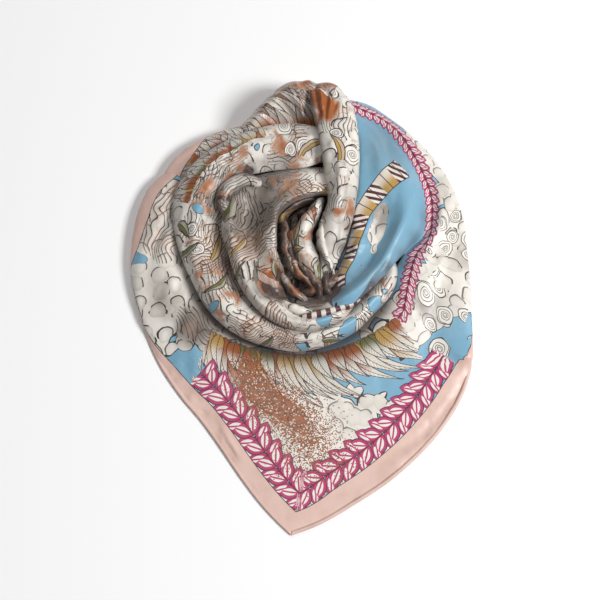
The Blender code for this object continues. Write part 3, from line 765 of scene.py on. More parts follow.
def bordered(graph, colour, at):
    """The plain blush border with its stitches, and the fine line between it and the print."""
    edge = graph.amount("edge")
    colour = graph.paint(colour, INK, graph.line(edge, BORDER_WIDTH + 0.6, BORDER_LINE))
    plain = graph.paint(BLUSH, DUSKY_BLUSH, graph.soft(graph.noise(at, 36, 3.0), 0.35, 0.8) * 0.35)
    stitched = (graph.amount("along_hem") / STITCH).maths("FRACT") < 0.45
    plain = graph.paint(plain, DUSKY_BLUSH, graph.line(edge, STITCH_INSET, STITCH_WIDTH) * stitched)
    return graph.paint(colour, plain, edge < BORDER_WIDTH)


def printed_and_shaded(graph):
    """The print from the ground up to the border, then painted shading in umber, all by the cloth's amounts."""
    flat = graph.add("ShaderNodeUVMap", {"uv_map": "flat_cloth"})
    straight = graph.vector("SCALE", flat, Scale=1 / MM)
    wander = graph.vector("SUBTRACT", graph.noise(straight, 45, 2.0, output=1), (0.5, 0.5, 0.5))
    at = graph.vector("MULTIPLY_ADD", wander, (WANDER, WANDER, 0), straight)
    shifted = graph.vector("ADD", at, (31.0, 57.0, 0.0))

    wash = graph.noise(at, 90, 3.0)
    # A grey wash of the print by the cloth's tint; in the pit's gaps the same wash is painted shading.
    ivory = graph.paint(IVORY, SHADE, graph.soft(wash + graph.amount("tint"), 0.5, 1.3))
    ivory, puff = clouds(graph, ivory, at, shifted, graph.amount("clouds"))
    ivory = flowing(graph, ivory, at, graph.amount("flow"))
    ivory = hatching(graph, ivory, at, graph.amount("lines"))
    ivory = earthy(graph, ivory, shifted)
    band = (graph.axes(straight)[1] / BAND + puff * 0.1).maths("FRACT") < 0.5
    ivory = graph.paint(ivory, graph.paint(IVORY, MAROON, band), graph.amount("stripes") > 0.5)

    blue = graph.paint(SKY, IVORY, graph.soft(wash, 0.45, 0.85) * 0.12)
    ground = graph.amount("sky") + (graph.noise(at, 60, 1.5) - 0.5) * 0.9 + (puff - 0.42) * 0.4
    colour = graph.paint(ivory, blue, ground > 0.5)
    colour = graph.paint(colour, INK, graph.line(ground, 0.5, 0.03))

    colour = scrolls(graph, colour, at, graph.amount("scrolls"))
    colour = leaves(graph, colour, at, 92, 96, 26, graph.amount("plumes"), (OLIVE, RUST, GOLD), 4.6)
    colour = leaves(graph, colour, shifted, 60, 62, 13, graph.amount("leaves"), (GOLD, RUST, OLIVE), 3.4)
    colour = leaves(graph, colour, at, 40, 38, 12, graph.amount("leaves") - 0.1, (OLIVE, GOLD, RUST), 3.1)
    colour = garland(graph, ribbon(graph, fan(graph, colour)))
    colour = bordered(graph, speckled(graph, colour, straight), straight)
    # Painted shading: umber over the colour, as much as the cloth's amount of painted shading, at most 0.8.
    return graph.paint(colour, UMBER, graph.amount("painted_shade").maths("MINIMUM", 0.8))


def silky(graph):
    """The silk's finish: twill ribs on soft crumples, a gloss that comes and goes, and an even sheen."""
    flat = graph.vector("SCALE", graph.add("ShaderNodeUVMap", {"uv_map": "flat_cloth"}), Scale=1 / MM)
    x, y = graph.axes(flat)
    rib = abs(((x + y * 1.2) / RIB).maths("FRACT") - 0.5)
    crumple = graph.noise(flat, 13, 3.0)
    height = crumple * 0.7 + graph.noise(flat, 34, 1.0) * 1.4 + rib * 0.05
    bump = graph.add("ShaderNodeBump", {}, Strength=0.8, Distance=0.001, Height=height)
    graph.put(graph.surface.inputs["Normal"], bump)
    graph.put(graph.surface.inputs["Roughness"], crumple * 0.22 + 0.29)
    graph.surface.inputs["Sheen Weight"].default_value = 0.25
    graph.surface.inputs["Sheen Roughness"].default_value = 0.4


def dress(cloth, name, nodes=()):
    """A cloth's piece, lying still with the heap, in the place of these solids."""
    piece = cloth.make(name, silk)
    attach(piece, "root")
    if nodes:
        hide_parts(*nodes)
    return piece


SPREAD_CREASES = (
    # clock, radius, clock_2, radius_2, bow, height, width
    (304, 199, 271, 217, 0, 5, 9), (289, 164, 255, 202, 4, -4, 8), (274, 163, 249, 238, -4, 4.5, 9),
    (254, 160, 237, 244, 3, -3.5, 9), (239, 161, 224, 249, -3, 3, 9), (297, 203, 268, 239, 3, -4, 7),
    (281, 246, 255, 262, 0, 2, 9), (212, 189, 214, 270, 2, 2, 12), (228, 200, 226, 262, 0, -1.6, 8),
    (206, 288, 197, 326, 0, 2.4, 4), (125, 306, 158, 332, 3, -2.2, 8), (134, 322, 160, 350, 0, 1.6, 7),
    (157, 175, 172, 272, 4, 1.8, 14), (128, 184, 140, 292, -4, 2, 12), (145, 180, 152, 250, 0, -1.5, 9),
    (80, 196, 96, 149, 2, -3, 6), (79, 230, 107, 184, 2, 3.5, 9), (60, 246, 72, 238, 0, 4, 8),
    (54, 248, 80, 232, -3, -3, 6), (92, 225, 118, 262, 3, 2.5, 15), (98, 205, 128, 240, 0, -2, 14),
    (105, 150, 122, 190, 0, 2.5, 8), (30, 255, 52, 240, 0, 2.5, 8), (190, 300, 186, 390, 0, 1.2, 10),
)
HEM_PUCKERS = tuple(
    (clock, radius - 20, clock + lean, radius - 2, 0, height, 5)
    for clock, radius, lean, height in (
        (128, 314, 2, -1.0), (136, 328, -1, 0.9), (147, 345, 1, -0.8), (156, 360, 1, 1.0), (168, 385, 1, -0.8),
        (192, 374, -1, 1.0), (199, 340, 1, -1.0), (205, 318, -2, 1.2), (212, 300, 1, -1.3), (219, 290, -2, 1.2),
        (226, 283, 2, -1.4), (236, 277, -1, 1.2),
    )
)
FIRST_CREASES = (
    (28, 226, 47, 150, 4, 3, 9), (32, 236, 50, 177, 0, -3, 9), (50, 94, 106, 66, 3, 3.5, 6),
    (79, 86, 59, 150, 0, -2.5, 7), (128, 84, 89, 107, 0, -3, 5), (40, 190, 62, 150, -4, 2.2, 8),
    (60, 186, 84, 132, 3, 1.6, 6), (92, 128, 118, 112, 2, -1.6, 4), (66, 90, 96, 58, 0, -2.5, 5),
    (110, 62, 140, 66, 0, 2.5, 4), (36, 120, 58, 92, 0, 3, 8),
)

# The silk's base colour carries the print and the painted shading.
silk = bpy.data.materials.new("printed_silk")
silk_graph = Graph(silk)
silk_graph.put(silk_graph.surface.inputs["Base Color"], printed_and_shaded(silk_graph))
silky(silk_graph)

patches, along_border = joined_stretch()
spread = Cloth(*patches)
spread.paint(
    sky=(
        0.3, (15, 225, 60, 0.6), (38, 200, 60, 1.0), (60, 160, 60, 1.0), (85, 125, 50, 1.0), (104, 103, 30, 0.7),
        (136, 99, 24, 0.6), (125, 262, 46, 0.9), (141, 245, 40, 0.6), (160, 220, 36, 0.35), (224, 250, 40, 0.8),
        (214, 225, 30, 0.5), (271, 268, 14, 0.8), (270, 225, 60, -0.6), (88, 250, 55, -0.9), (48, 262, 40, -0.6),
        (180, 320, 80, -0.7), (252, 245, 36, -0.5), (123, 205, 34, -0.5), (60, 142, 14, -1.4),
        (68, 126, 18, -1.5), (78, 112, 14, -1.4), (90, 104, 12, -1.2), (129, 98, 14, 0.6), (57, 194, 14, 0.9),
        (76, 183, 14, 0.8), (64, 225, 15, -1.0), (269, 250, 13, 0.7), (150, 178, 40, 0.6), (176, 176, 40, 0.6),
        (202, 186, 36, 0.5),
    ),
    clouds=(0.5, (250, 245, 50, 0.6), (85, 240, 60, 0.5)),
    lines=(0.0, (285, 215, 40, 0.3), (172, 68, 26, 0.8)),
    flow=(
        0.0, (287, 222, 50, 1.3), (231, 194, 22, 1.0), (240, 208, 24, 1.0), (272, 222, 24, 0.5),
        (30, 245, 30, 0.3), (174, 74, 26, 1.0),
    ),
    # The grey wash is print, and at the pit's floor also painted shading.
    tint=(
        0.05, (68, 126, 20, 0.5), (60, 142, 16, 0.5), (235, 206, 30, 0.5), (251, 218, 26, 0.3),
        (113, 199, 30, 0.4), (285, 225, 50, 0.4), (235, 190, 40, 0.5), (172, 66, 26, 1.4), (90, 245, 60, 0.25),
    ),
    rust=(
        0.05, (300, 215, 30, 0.5), (232, 198, 24, 0.25), (165, 180, 50, 0.5), (215, 205, 40, 0.5),
        (60, 120, 40, 0.1), (95, 235, 40, 0.2), (172, 68, 26, 0.4),
    ),
    scrolls=(
        0.0, (76, 184, 20, -0.6), (57, 194, 18, -0.6), (80, 248, 55, 1.1), (112, 225, 46, 1.0), (140, 225, 24, 0.3),
    ),
    leaves=(0.0, (150, 255, 40, 0.3), (110, 190, 24, 0.5), (245, 200, 24, 0.4)),
    plumes=(0.0, (172, 66, 24, 0.6)),
    # Umber patches standing for painted shading in the pit's gaps and under the outer turn.
    umber_and_shade=(0.0, (174, 72, 26, 0.6), (140, 62, 14, 0.6), (137, 78, 12, 0.9), (150, 90, 11, 0.8), (205, 160, 16, 0.3)),
    # Painted shading: in the pit, in the gaps beside the crown and along the valleys under the turns.
    painted_shade=(
        0.0, (231, 196, 16, 0.35), (240, 212, 18, 0.25), (120, 62, 10, 0.55), (138, 80, 10, 0.6), (150, 92, 10, 0.5),
        (102, 57, 11, 0.8), (79, 58, 12, 0.9), (56, 80, 9, 0.8), (162, 83, 10, 0.5), (172, 72, 13, 0.9),
        (152, 68, 12, 0.8), (190, 68, 12, 0.8), (93, 150, 14, 0.45), (103, 131, 11, 0.7), (110, 121, 11, 0.3),
        (121, 115, 9, 0.25), (113, 199, 24, 0.1), (82, 172, 14, 0.35), (72, 196, 13, 0.25), (33, 228, 30, 0.26),
        (42, 206, 30, 0.2),
    ),
    dust=(
        0.0, (207, 190, 15, 1.1), (205, 204, 19, 1.0), (200, 219, 23, 0.95), (194, 231, 27, 0.9), (187, 241, 28, 0.7),
        (182, 258, 32, 0.5), (177, 278, 34, 0.35), (180, 302, 38, 0.28), (172, 318, 36, 0.12),
    ),
)
spread.trail("garland", 0.9, (
    (14, 266), (30, 258), (45, 240), (62, 222), (74, 205), (84, 185), (97, 165), (112, 168), (126, 172),
))
spread.trail("ribbon", 11.5, ((136, 78), (124, 66), (112, 62), (92, 70), (69, 84), (54, 114), (49, 158), (48, 205)))
spread.trail("fan", 96, ((124, 168), (138, 158), (156, 152), (176, 151), (196, 155), (214, 167), (231, 184)))

# A second garland follows the border round the corner.
clock, radius = spread.polar()
round_corner = (clock > 126) & (clock < 222) & (spread.edge < 110)
spread.lay("garland", 1.9, spread.edge - BORDER_WIDTH - GARLAND_INSET, along_border[spread.kept], round_corner)
spread.masks["along_hem"] = along_border[spread.kept]

# Painted shadow: the spread part is dark where it runs in under the outer turn. The shadow is full up to 9 mm
# outside its valley and fades over the next 30 mm.
valley = through(named(SPREAD)["clock"], named(SPREAD)["valley_r"], np.clip(clock, 14, SPREAD_END_CLOCK))
shadow_under_turn = np.clip((clock - 108) / 14, 0, 1) * np.clip((300 - clock) / 20, 0, 1)
shadow_under_turn *= np.exp(-(((radius - valley).clip(9) - 9) / 15) ** 2) * (radius - valley > -20)
spread.masks["painted_shade"] += 0.9 * shadow_under_turn

for rows in (SPREAD_CREASES, FIRST_CREASES, HEM_PUCKERS):
    spread.crease(rows)
spread.rumple(0.8, 74, 4)
spread_piece = dress(spread, "spread_cloth", ("spread_sheet", "first_coil"))

# --- The outer turn ------------------------------------------------------------------------------------------------
# The same printed silk, folded over into a hollow roll that goes round the rosette from under the inner turn at the
# right to behind the crown. Its lower edge is tucked in, and it lies loose on the spread part.

OUTER = (
    ("clock", "inner_r", "inner_z", "flank_r", "flank_z", "crest_r", "crest_z", "brow_r", "brow_z", "tuck", "end_z"),
    (90, 118, 20, 124, 26, 132, 28, 137, 22, 6, 12),
    (97, 116, 22, 126, 30, 136, 33, 143, 24, 9, 14),
    (104, 113, 22, 124, 34, 137, 40, 146, 26, 11, 16),
    (113, 108, 25, 119, 38, 133, 46, 146, 27, 13, 18.1),
    (130, 106, 28, 116, 41, 128, 50, 141, 28, 14, 14),
    (147, 107, 28, 118, 42, 131, 52, 144, 29, 14, 14),
    (163, 108, 28, 120, 43, 132, 54, 147, 30, 15, 15),
    (183, 108, 28, 123, 43, 137, 55, 154, 31, 15, 16),
    (203, 106, 28, 123, 43, 139, 56, 158, 31, 16, 16),
    (220, 103, 28, 123, 43, 144, 56, 165, 31, 16, 16),
    (239, 101, 28, 124, 43, 149, 57, 172, 31, 16, 18.7),
    (257, 102, 28, 128, 43, 155, 58, 179, 31, 17, 21.5),
    (273, 107, 28, 136, 42, 165, 59, 195, 31, 17, 24.6),
    (286, 116, 28, 147, 43, 177, 60, 213, 31, 18, 25.7),
    (299, 128, 30, 159, 46, 188, 62, 228, 33, 19, 25.4),
    (306, 142, 33, 163, 49, 191, 65, 230, 36, 19, 23),
    (314, 158, 37, 164, 53, 194, 67, 228, 43, 12, 32.7),
    (324, 158, 48, 152, 55, 189, 70, 222, 48, 11, 38.5),
    (337, 149, 50, 142, 56, 185, 72, 217, 54, 9, 44.4),
    (350, 144, 50, 136, 56, 180, 72, 213, 58, 7, 46.3),
    (362, 146, 50, 138, 56, 176, 71, 208, 57, 6, 43.2),
    (374, 160, 48, 153, 54, 180, 66, 203, 54, 5, 40),
)


def turn_patch(table, names, cuts, steps):
    """One turn of the rosette: the named points of each station and, last, the tucked end inside the brow."""
    clock = np.linspace(table[1][0], table[-1][0], steps)
    columns = read(table, "clock", clock)
    columns["end_r"] = columns["brow_r"] - columns["tuck"]
    line = across(pairs(columns, *names, "end"), cuts)
    return ring(clock, line), unrolled(clock, line, columns[names[0] + "_r"]), np.full(line.shape[:2], NO_EDGE)


OUTER_STEPS = 330
outer = Cloth(turn_patch(OUTER, ("inner", "flank", "crest", "brow"), (10, 18, 20, 10), OUTER_STEPS))
outer.crease((
    (330, 184, 366, 182, 0, 3, 6), (325, 174, 357, 158, 0, -3, 6), (304, 178, 276, 168, 3, 4, 7),
    (310, 166, 272, 146, 2, -3.5, 5), (278, 170, 246, 164, 2, 3, 6), (240, 158, 216, 148, 0, 2.5, 5),
    (236, 136, 208, 134, 0, -2, 4), (300, 182, 288, 152, 0, 3.5, 5), (200, 140, 158, 137, 2, 1.5, 5),
    (145, 138, 105, 138, 0, 1.8, 4), (336, 196, 360, 190, 0, -2, 4), (262, 150, 238, 128, 0, -2.2, 4),
    (292, 200, 262, 180, 2, 2, 5), (318, 200, 300, 205, 0, 2.2, 6), (225, 150, 190, 142, 3, -1.6, 4),
    (346, 170, 372, 168, 0, 2, 5), (184, 128, 150, 122, 0, -1.5, 4), (316, 178, 326, 206, 0, -2.4, 6),
))
outer.crease(((337, 156, 312, 160, 2, -9, 8), (320, 158, 300, 156, 0, -5, 6)))  # the dent beside the hood
outer.rumple(0.5, 60, 5)
outer.paint(
    # Painted shading, darkest in the dent beside the hood; the negative rows take the tuck shading off the lit left
    # flank.
    painted_shade=(
        0.0, (361, 191, 9, 0.5), (4, 161, 9, 0.5), (292, 161, 16, 0.15), (260, 165, 26, -0.4), (243, 160, 24, -0.35),
        (276, 178, 22, -0.3), (325, 154, 17, 0.65), (312, 158, 13, 0.5), (338, 152, 12, 0.4), (262, 126, 14, 0.3),
    ),
    # Umber patches of the print, and in the dent beside the hood painted shading.
    umber_and_shade=(0.12, (325, 157, 14, 0.35), (285, 125, 20, 0.2), (190, 158, 20, 0.1)),
    sky=(
        0.05, (182, 140, 22, 0.7), (150, 138, 22, 0.7), (125, 132, 22, 0.7), (292, 178, 14, 0.8), (335, 180, 16, 0.4),
        (238, 165, 12, 0.6),
    ),
    clouds=0.7,
    lines=(0.15, (345, 152, 34, 0.6)),
    flow=(0.48, (240, 150, 40, 0.2), (350, 165, 40, -0.1)),
    tint=(0.05, (300, 165, 40, 0.3), (350, 152, 24, 0.6), (250, 160, 50, 0.2), (190, 140, 40, 0.2)),
    rust=(0.34, (318, 180, 34, 0.2), (350, 170, 30, 0.2), (296, 180, 24, 0.2), (240, 145, 30, 0.1)),
    scrolls=(0.1, (352, 186, 26, 0.7), (316, 190, 20, 0.5)),
    leaves=(0.2, (160, 135, 30, 0.3)),
)
# Painted shading towards both tucked edges of the turn.
outer.paint_shade_across(OUTER_STEPS, (0, 0.15, 0.3, 0.6, 0.8, 1), (0.55, 0.4, 0, 0, 0.42, 0.7))
outer.trail("fan", 50, ((292, 196), (306, 200), (320, 200), (334, 196), (342, 192)))
piece = dress(outer, "outer_turn", ("outer_coil",))

# --- The second turn and its hood ----------------------------------------------------------------------------------
# The next turn in, of the same printed silk, rolled over the outer one. At the back its inner edge stands up as a
# hood over the pit in the middle.

SECOND = (
    ("clock", "foot_r", "foot_z", "lip_r", "lip_z", "dip_r", "dip_z", "crest_r", "crest_z", "brow_r", "brow_z",
     "tuck", "end_z"),
    (140, 78, 27, 88, 31, 98, 38, 108, 45, 114, 42, 3, 37.1),
    (152, 80, 27, 90, 33, 102, 44, 113, 53, 121, 44, 9, 38.7),
    (163, 84, 26, 94, 37, 105, 50, 116, 59, 124, 48, 10, 40.1),
    (178, 88, 25, 97, 38, 107, 52, 117, 62, 127, 49, 10, 41.1),
    (193, 82, 24, 92, 38, 104, 52, 116, 64, 126, 50, 10, 39.6),
    (209, 62, 26, 76, 40, 92, 53, 110, 65, 121, 51, 10, 37),
    (226, 44, 30, 62, 48, 82, 57, 104, 66, 116, 51, 10, 37),
    (240, 38, 34, 50, 60, 76, 60, 102, 67, 114, 51, 10, 37),
    (255, 40, 36, 46, 69, 74, 61, 102, 67, 114, 51, 10, 37),
    (270, 44, 38, 48, 73, 80, 56, 106, 67, 119, 51, 10, 37),
    (287, 45, 38, 49, 75, 98, 46, 121, 67, 135, 51, 10, 37),
    (303, 52, 38, 55, 76, 112, 42, 131, 61, 145, 49, 9, 36),
    (314, 60, 38, 62, 76, 112, 46, 136, 54, 149, 46, 1, 36),
    (325, 72, 38, 73, 76, 106, 59, 129, 56, 146, 50, -5, 43),
    (337, 79, 38, 78, 75, 100, 67, 119, 64, 137, 55, -6, 48),
    (350, 86, 38, 84, 74, 101, 69, 117, 66, 134, 57, -6, 50),
    (362, 92, 38, 89, 73, 105, 68, 119, 65, 135, 56, -6, 49),
    (372, 98, 38, 95, 68, 109, 64, 123, 60, 138, 52, -6, 45),
    (385, 106, 36, 101, 58, 114, 55, 127, 52, 141, 45, -6, 40),
)

SECOND_STEPS = 280
second = Cloth(turn_patch(SECOND, ("foot", "lip", "dip", "crest", "brow"), (14, 18, 16, 12, 8), SECOND_STEPS))
second.crease((
    (269, 99, 219, 104, 0, 2.5, 6), (245, 98, 205, 106, 2, -3, 4), (350, 118, 325, 108, 0, 2, 5),
    (362, 112, 338, 88, 0, 2.2, 5), (318, 96, 268, 72, 0, -2.5, 6), (297, 120, 256, 106, 0, 2, 5),
    (246, 68, 206, 96, 0, 5, 7), (236, 62, 204, 82, 0, -4, 4), (184, 116, 150, 112, 0, 1.5, 4),
    (300, 80, 276, 92, 0, 2.5, 5), (340, 96, 310, 90, 2, -2, 5), (330, 118, 344, 92, 0, 2.4, 5),
    (228, 108, 196, 112, 0, 1.6, 3), (284, 60, 262, 56, 0, 2, 4),
))
second.rumple(0.6, 46, 6)
second.paint(
    sky=(0.0, (165, 112, 18, 0.7)),
    clouds=0.6,
    # Painted shading, darkest in the gap beside the olive fold; the negative rows take it off the crest and the lip.
    painted_shade=(
        0.0, (330, 124, 16, 0.45), (212, 82, 12, 0.9), (220, 84, 12, 0.6), (205, 70, 10, 0.7), (256, 104, 22, -0.5),
        (275, 57, 12, -0.4), (295, 135, 16, 0.15),
    ),
    # Umber patches of the print, and in the gap beside the olive fold painted shading.
    umber_and_shade=(0.12, (220, 82, 15, 0.65), (256, 104, 24, -0.2), (228, 52, 16, 0.35), (255, 60, 16, 0.15)),
    pitch=2.6,
    lines=(0.15, (300, 84, 60, 0.9)),
    flow=(0.4, (345, 95, 50, 0.3), (300, 84, 30, -0.4), (254, 104, 22, -0.35)),
    # A grey wash of the print, and in the gap beside the olive fold painted shading.
    tint=(
        0.15, (221, 82, 18, 0.9), (256, 104, 24, -0.4), (278, 57, 16, -0.5), (298, 55, 13, -0.9), (300, 80, 46, 0.9),
        (335, 100, 40, 0.7), (225, 70, 26, 0.5),
    ),
    rust=(0.3, (222, 84, 16, 0.25), (340, 112, 24, 0.3), (230, 60, 24, 0.3), (300, 84, 36, -0.2)),
    leaves=(0.1, (230, 78, 26, 0.9)),
    plumes=(0.05, (228, 76, 24, 1.0), (150, 110, 20, 0.5)),
)
# Painted shading towards both tucked edges of the turn.
second.paint_shade_across(SECOND_STEPS, (0, 0.12, 0.2, 0.7, 0.84, 1), (0.55, 0.3, 0, 0, 0.38, 0.6))
piece = dress(second, "second_turn", ("second_coil",))

# --- The back ------------------------------------------------------------------------------------------------------
# Two stretches of the far side of the square, each folded once and turned in underneath: a low blush flap at the
# left and the peak behind the outer turn.

BACK_LINE = ("clock", "inner_r", "inner_z", "foot_r", "foot_z", "ridge_r", "ridge_z", "brow_z", "edge_r", "turn")
FLAP = (
    BACK_LINE,
    (296, 200, 14, 210, 16, 228, 20, 8, 262, 6),
    (304.6, 200, 20, 212, 22, 236, 30, 14, 267, 6),
    (312, 198, 22, 210, 26, 234, 35, 16, 267, 8),
    (320, 195, 25, 207, 30, 229, 40, 20, 260, 10),
    (327, 192, 28, 203, 34, 222, 44, 24, 252, 12),
    (334.4, 190, 30, 200, 37, 216, 46, 28, 243, 14),
    (342, 190, 32, 200, 38, 214, 46, 26, 236, 14),
)
PEAK = (
    BACK_LINE,
    (334.8, 192, 34, 206, 40, 222, 47, 28, 242, 10),
    (341, 194, 38, 210, 44, 233, 61, 34, 254, 12),
    (346, 196, 40, 213, 46, 243, 71, 38, 267, 14),
    (351, 197, 41, 216, 47, 255, 79, 40, 281, 16),
    (356, 198, 41, 218, 47, 263, 82, 40, 290, 18),
    (361, 199, 40, 222, 47, 264, 79, 40, 288, 18),
    (367, 200, 38, 224, 46, 262, 74, 38, 285, 18),
    (373.4, 206, 36, 226, 42, 256, 58, 32, 280, 18),
)


BACK_CUTS = (8, 20, 24, 18)


def back_patch(table, steps):
    """A stretch at the back: from under the outer turn over its ridge and down to the table."""
    clock = np.linspace(table[1][0], table[-1][0], steps)
    columns = read(table, "clock", clock)
    columns["brow_r"] = columns["edge_r"]
    columns["end_r"] = columns["edge_r"] - columns["turn"]
    columns["end_z"] = np.full_like(clock, TABLE_GAP)
    line = across(pairs(columns, "inner", "foot", "ridge", "brow", "end"), BACK_CUTS)
    flat = unrolled(clock, line, columns["inner_r"])
    brow = -1 - BACK_CUTS[-1]
    return ring(clock, line), flat, np.linalg.norm(flat[:, brow:brow + 1], axis=2) - np.linalg.norm(flat, axis=2)


FLAP_CREASES = ((300, 240, 330, 222, 2, 2, 6), (304, 256, 330, 236, 0, -1.5, 6), (314, 215, 334, 206, 0, 2, 5))
PEAK_CREASES = (
    (366, 206, 358, 276, 2, -6, 5), (363, 206, 354, 262, 0, 4.5, 5), (358, 208, 349, 256, 0, -5, 5),
    (355, 219, 344, 250, 0, 3.5, 5), (360, 212, 357, 278, -2, 4, 4), (350, 216, 341, 244, 0, -3, 4),
    (370, 224, 364, 276, 0, 3, 5), (352, 262, 346, 280, 0, -4, 7), (360, 270, 362, 286, 0, 4, 7),
)
FLAP_PRINT = {"rust": 0.6, "lines": 0.3, "tint": 0.3, "flow": 0.5, "umber_and_shade": 0.2, "painted_shade": 0.0}
PEAK_PRINT_AND_SHADE = {
    "rust": 0.52, "lines": 0.4, "tint": 0.4, "flow": 0.6, "umber_and_shade": 0.2,
    # Painted shading on part of the peak.
    "painted_shade": (0.0, (353, 246, 24, 0.28), (355, 226, 14, 0.35)),
}
BACK_PIECES = (
    ("name", "node", "table", "steps", "size", "creases", "hidden", "feathers", "amounts"),
    ("flap_cloth", "back_flap", FLAP, 110, (0.13, 0.136), FLAP_CREASES, ((300, 312, 318, 326), (0, 6, 18, 40)),
     (56, ((313, 220), (322, 214), (332, 206), (340, 204))), FLAP_PRINT),
    ("peak_cloth", "peak_fold", PEAK, 140, (0.15, 0.178), PEAK_CREASES, ((0, 1), (60, 60)),
     (96, ((336, 198), (345, 200), (354, 202), (363, 206), (372, 212))), PEAK_PRINT_AND_SHADE),
)
for name, node, table, steps, size, creases, hidden, feathers, amounts in BACK_PIECES[1:]:
    stretch = Cloth(back_patch(table, steps))
    stretch.edge += np.interp(stretch.polar()[0], *hidden)
    stretch.trail("fan", *feathers)
    stretch.crease(creases)
    stretch.paint(**amounts)
    piece = dress(stretch, name, (node,))

# --- The crown and the heart ---------------------------------------------------------------------------------------
# The crown is the rolled fold that comes over from the peak and dives into the pit. The small folds in the pit are
# the crumpled middle of the square, of the same printed silk and held only by each other.

SPINE = ("x", "y", "z", "heading", "left", "left_drop", "right", "right_drop", "turn")
CROWN = (
    SPINE,
    (31, 284, 3, 180, 7, 8, 8, 9, 0),
    (31, 287, 11, 180, 15, 10, 17, 12, 0),
    (32, 287, 28, 180, 20, 12, 23, 17, 0),
    (33, 283, 53, 180, 23, 12, 26, 22, 0),
    (34, 275, 72, 180, 25, 10, 28, 25, 0),
    (35, 261, 83, 180, 27, 8, 30, 26, 5),
    (38, 246, 87, 180, 30, 13.5, 34, 22.8, 10),
    (44, 216, 90, 178, 30, 18.9, 35, 18.2, 20),
    (51, 180, 91, 177, 30, 14, 33, 20.9, 25),
    (56, 144, 91, 179, 29, 17.8, 29, 24.3, 25),
    (57, 108, 89, 183, 26, 36.9, 26, 25.1, 25),
    (54, 74, 84, 187, 20, 38, 24, 23.2, 20),
    (48, 42, 75, 188, 24, 35.7, 23, 22, 15),
    (42, 10, 61, 190, 24, 26, 19, 16.5, 10),
    (37, -14, 45, 194, 17, 16, 13, 8, 0),
    (30, -32, 33, 200, 12, 8, 9, 5, 0),
    (22, -42, 27, 210, 8, 4, 6, 3, 0),
)
LEAF = (
    SPINE,
    (28, 92, 44, 205, 4, 8, 4, 8, 5),
    (21, 80, 58, 205, 9, 14, 10, 14, 10),
    (13, 64, 66, 205, 10, 20, 12, 20, 15),
    (1, 42, 67, 195, 14, 24, 13, 24, 15),
    (-3, 18, 66, 176, 19, 24, 14, 24, 15),
    (3, -8, 62, 160, 17, 22, 17, 22, 10),
    (13, -28, 56, 150, 14, 16, 15, 16, 5),
    (21, -41, 49, 145, 10, 9, 10, 9, 0),
    (27, -50, 38, 140, 4, 4, 4, 4, 0),
)
SIDE = (
    SPINE,
    (-29, 64, 32, 180, 4, 6, 4, 6, 0),
    (-30, 54, 40, 180, 7, 13, 7, 13, 5),
    (-30, 36, 48, 180, 7, 21, 7, 21, 5),
    (-29, 14, 52, 176, 7, 25, 7, 25, 5),
    (-25, -8, 51, 168, 7, 24, 7, 24, 5),
    (-19, -26, 46, 162, 6, 19, 6, 19, 5),
    (-13, -38, 36, 158, 3, 6, 3, 6, 0),
)
KNOT = (
    SPINE,
    (53, -30, 34, 230, 4, 5, 4, 3, 0),
    (46, -38, 42, 236, 7, 10, 7, 1.5, 0),
    (36, -48, 45, 242, 8, 12, 8, 7.4, 0),
    (20, -56, 44, 250, 8, 12, 8, 11.3, 0),
    (4, -60, 40, 256, 7, 10, 7, 10, 0),
    (-6, -61, 32, 262, 3, 4, 3, 4, 0),
)
ROLL = (
    SPINE,
    (-37, -27, 34, 164, 3, 3, 3, 6, 0),
    (-31, -39, 42, 156, 6, 4.2, 6, 12, 0),
    (-25, -50, 45, 148, 6, 14, 6, 15.9, 0),
    (-15, -62, 45, 138, 6, 11.7, 6, 15.9, 0),
    (-1.8, -71.6, 41, 128, 6, 1.8, 6, 12, 0),
    (9, -78, 33, 122, 3, 2, 3, 5, 0),
)
LEDGE = (
    SPINE,
    (-42, 56, 34, 140, 4, 4, 4, 4, 0),
    (-34, 66, 44, 120, 7, 12, 7, 12, 0),
    (-16, 80, 48, 105, 8, 14, 8, 14, 0),
    (4, 88, 46, 95, 7, 12, 7, 12, 0),
    (20, 92, 38, 90, 5, 6, 5, 6, 0),
)
INNER_PLEAT = (
    SPINE,
    (-14, 66, 34, 190, 3, 4, 3, 4, 0),
    (-15, 49, 46, 188, 5, 14, 5, 14, 5),
    (-20, 26, 52, 182, 6, 18, 5, 18, 5),
    (-22, 2, 53, 172, 6, 18, 5, 16, 5),
    (-16, -19, 52, 155, 6, 16, 5, 14, 0),
    (-4, -37, 49, 140, 6, 14, 5, 12, 0),
    (10, -50, 44, 132, 5, 10, 5, 8, 0),
    (22, -60, 34, 128, 3, 4, 3, 4, 0),
)
BRIGHT_FOLD = (
    SPINE,
    (30, 68, 46, 182, 3, 6, 3, 6, 0),
    (28, 46, 59, 182, 7, 18, 6, 16, 0),
    (26, 22, 61, 180, 9, 20, 7, 16, 0),
    (30, -2, 58, 174, 8, 20, 7, 14, 0),
    (38, -20, 50, 168, 6, 14, 6, 10, 0),
    (44, -36, 38, 165, 3, 5, 3, 5, 0),
)
CROSS_FOLD = (
    SPINE,
    (-18, -8, 38, 150, 3, 5, 3, 5, 0),
    (-8, -18, 49, 142, 6, 12, 6, 12, 0),
    (6, -34, 54, 138, 7, 14, 7, 14, 0),
    (18, -50, 53, 148, 7, 14, 7, 14, 0),
    (22, -64, 46, 170, 6, 10, 6, 10, 0),
    (19, -76, 36, 190, 3, 5, 3, 5, 0),
)
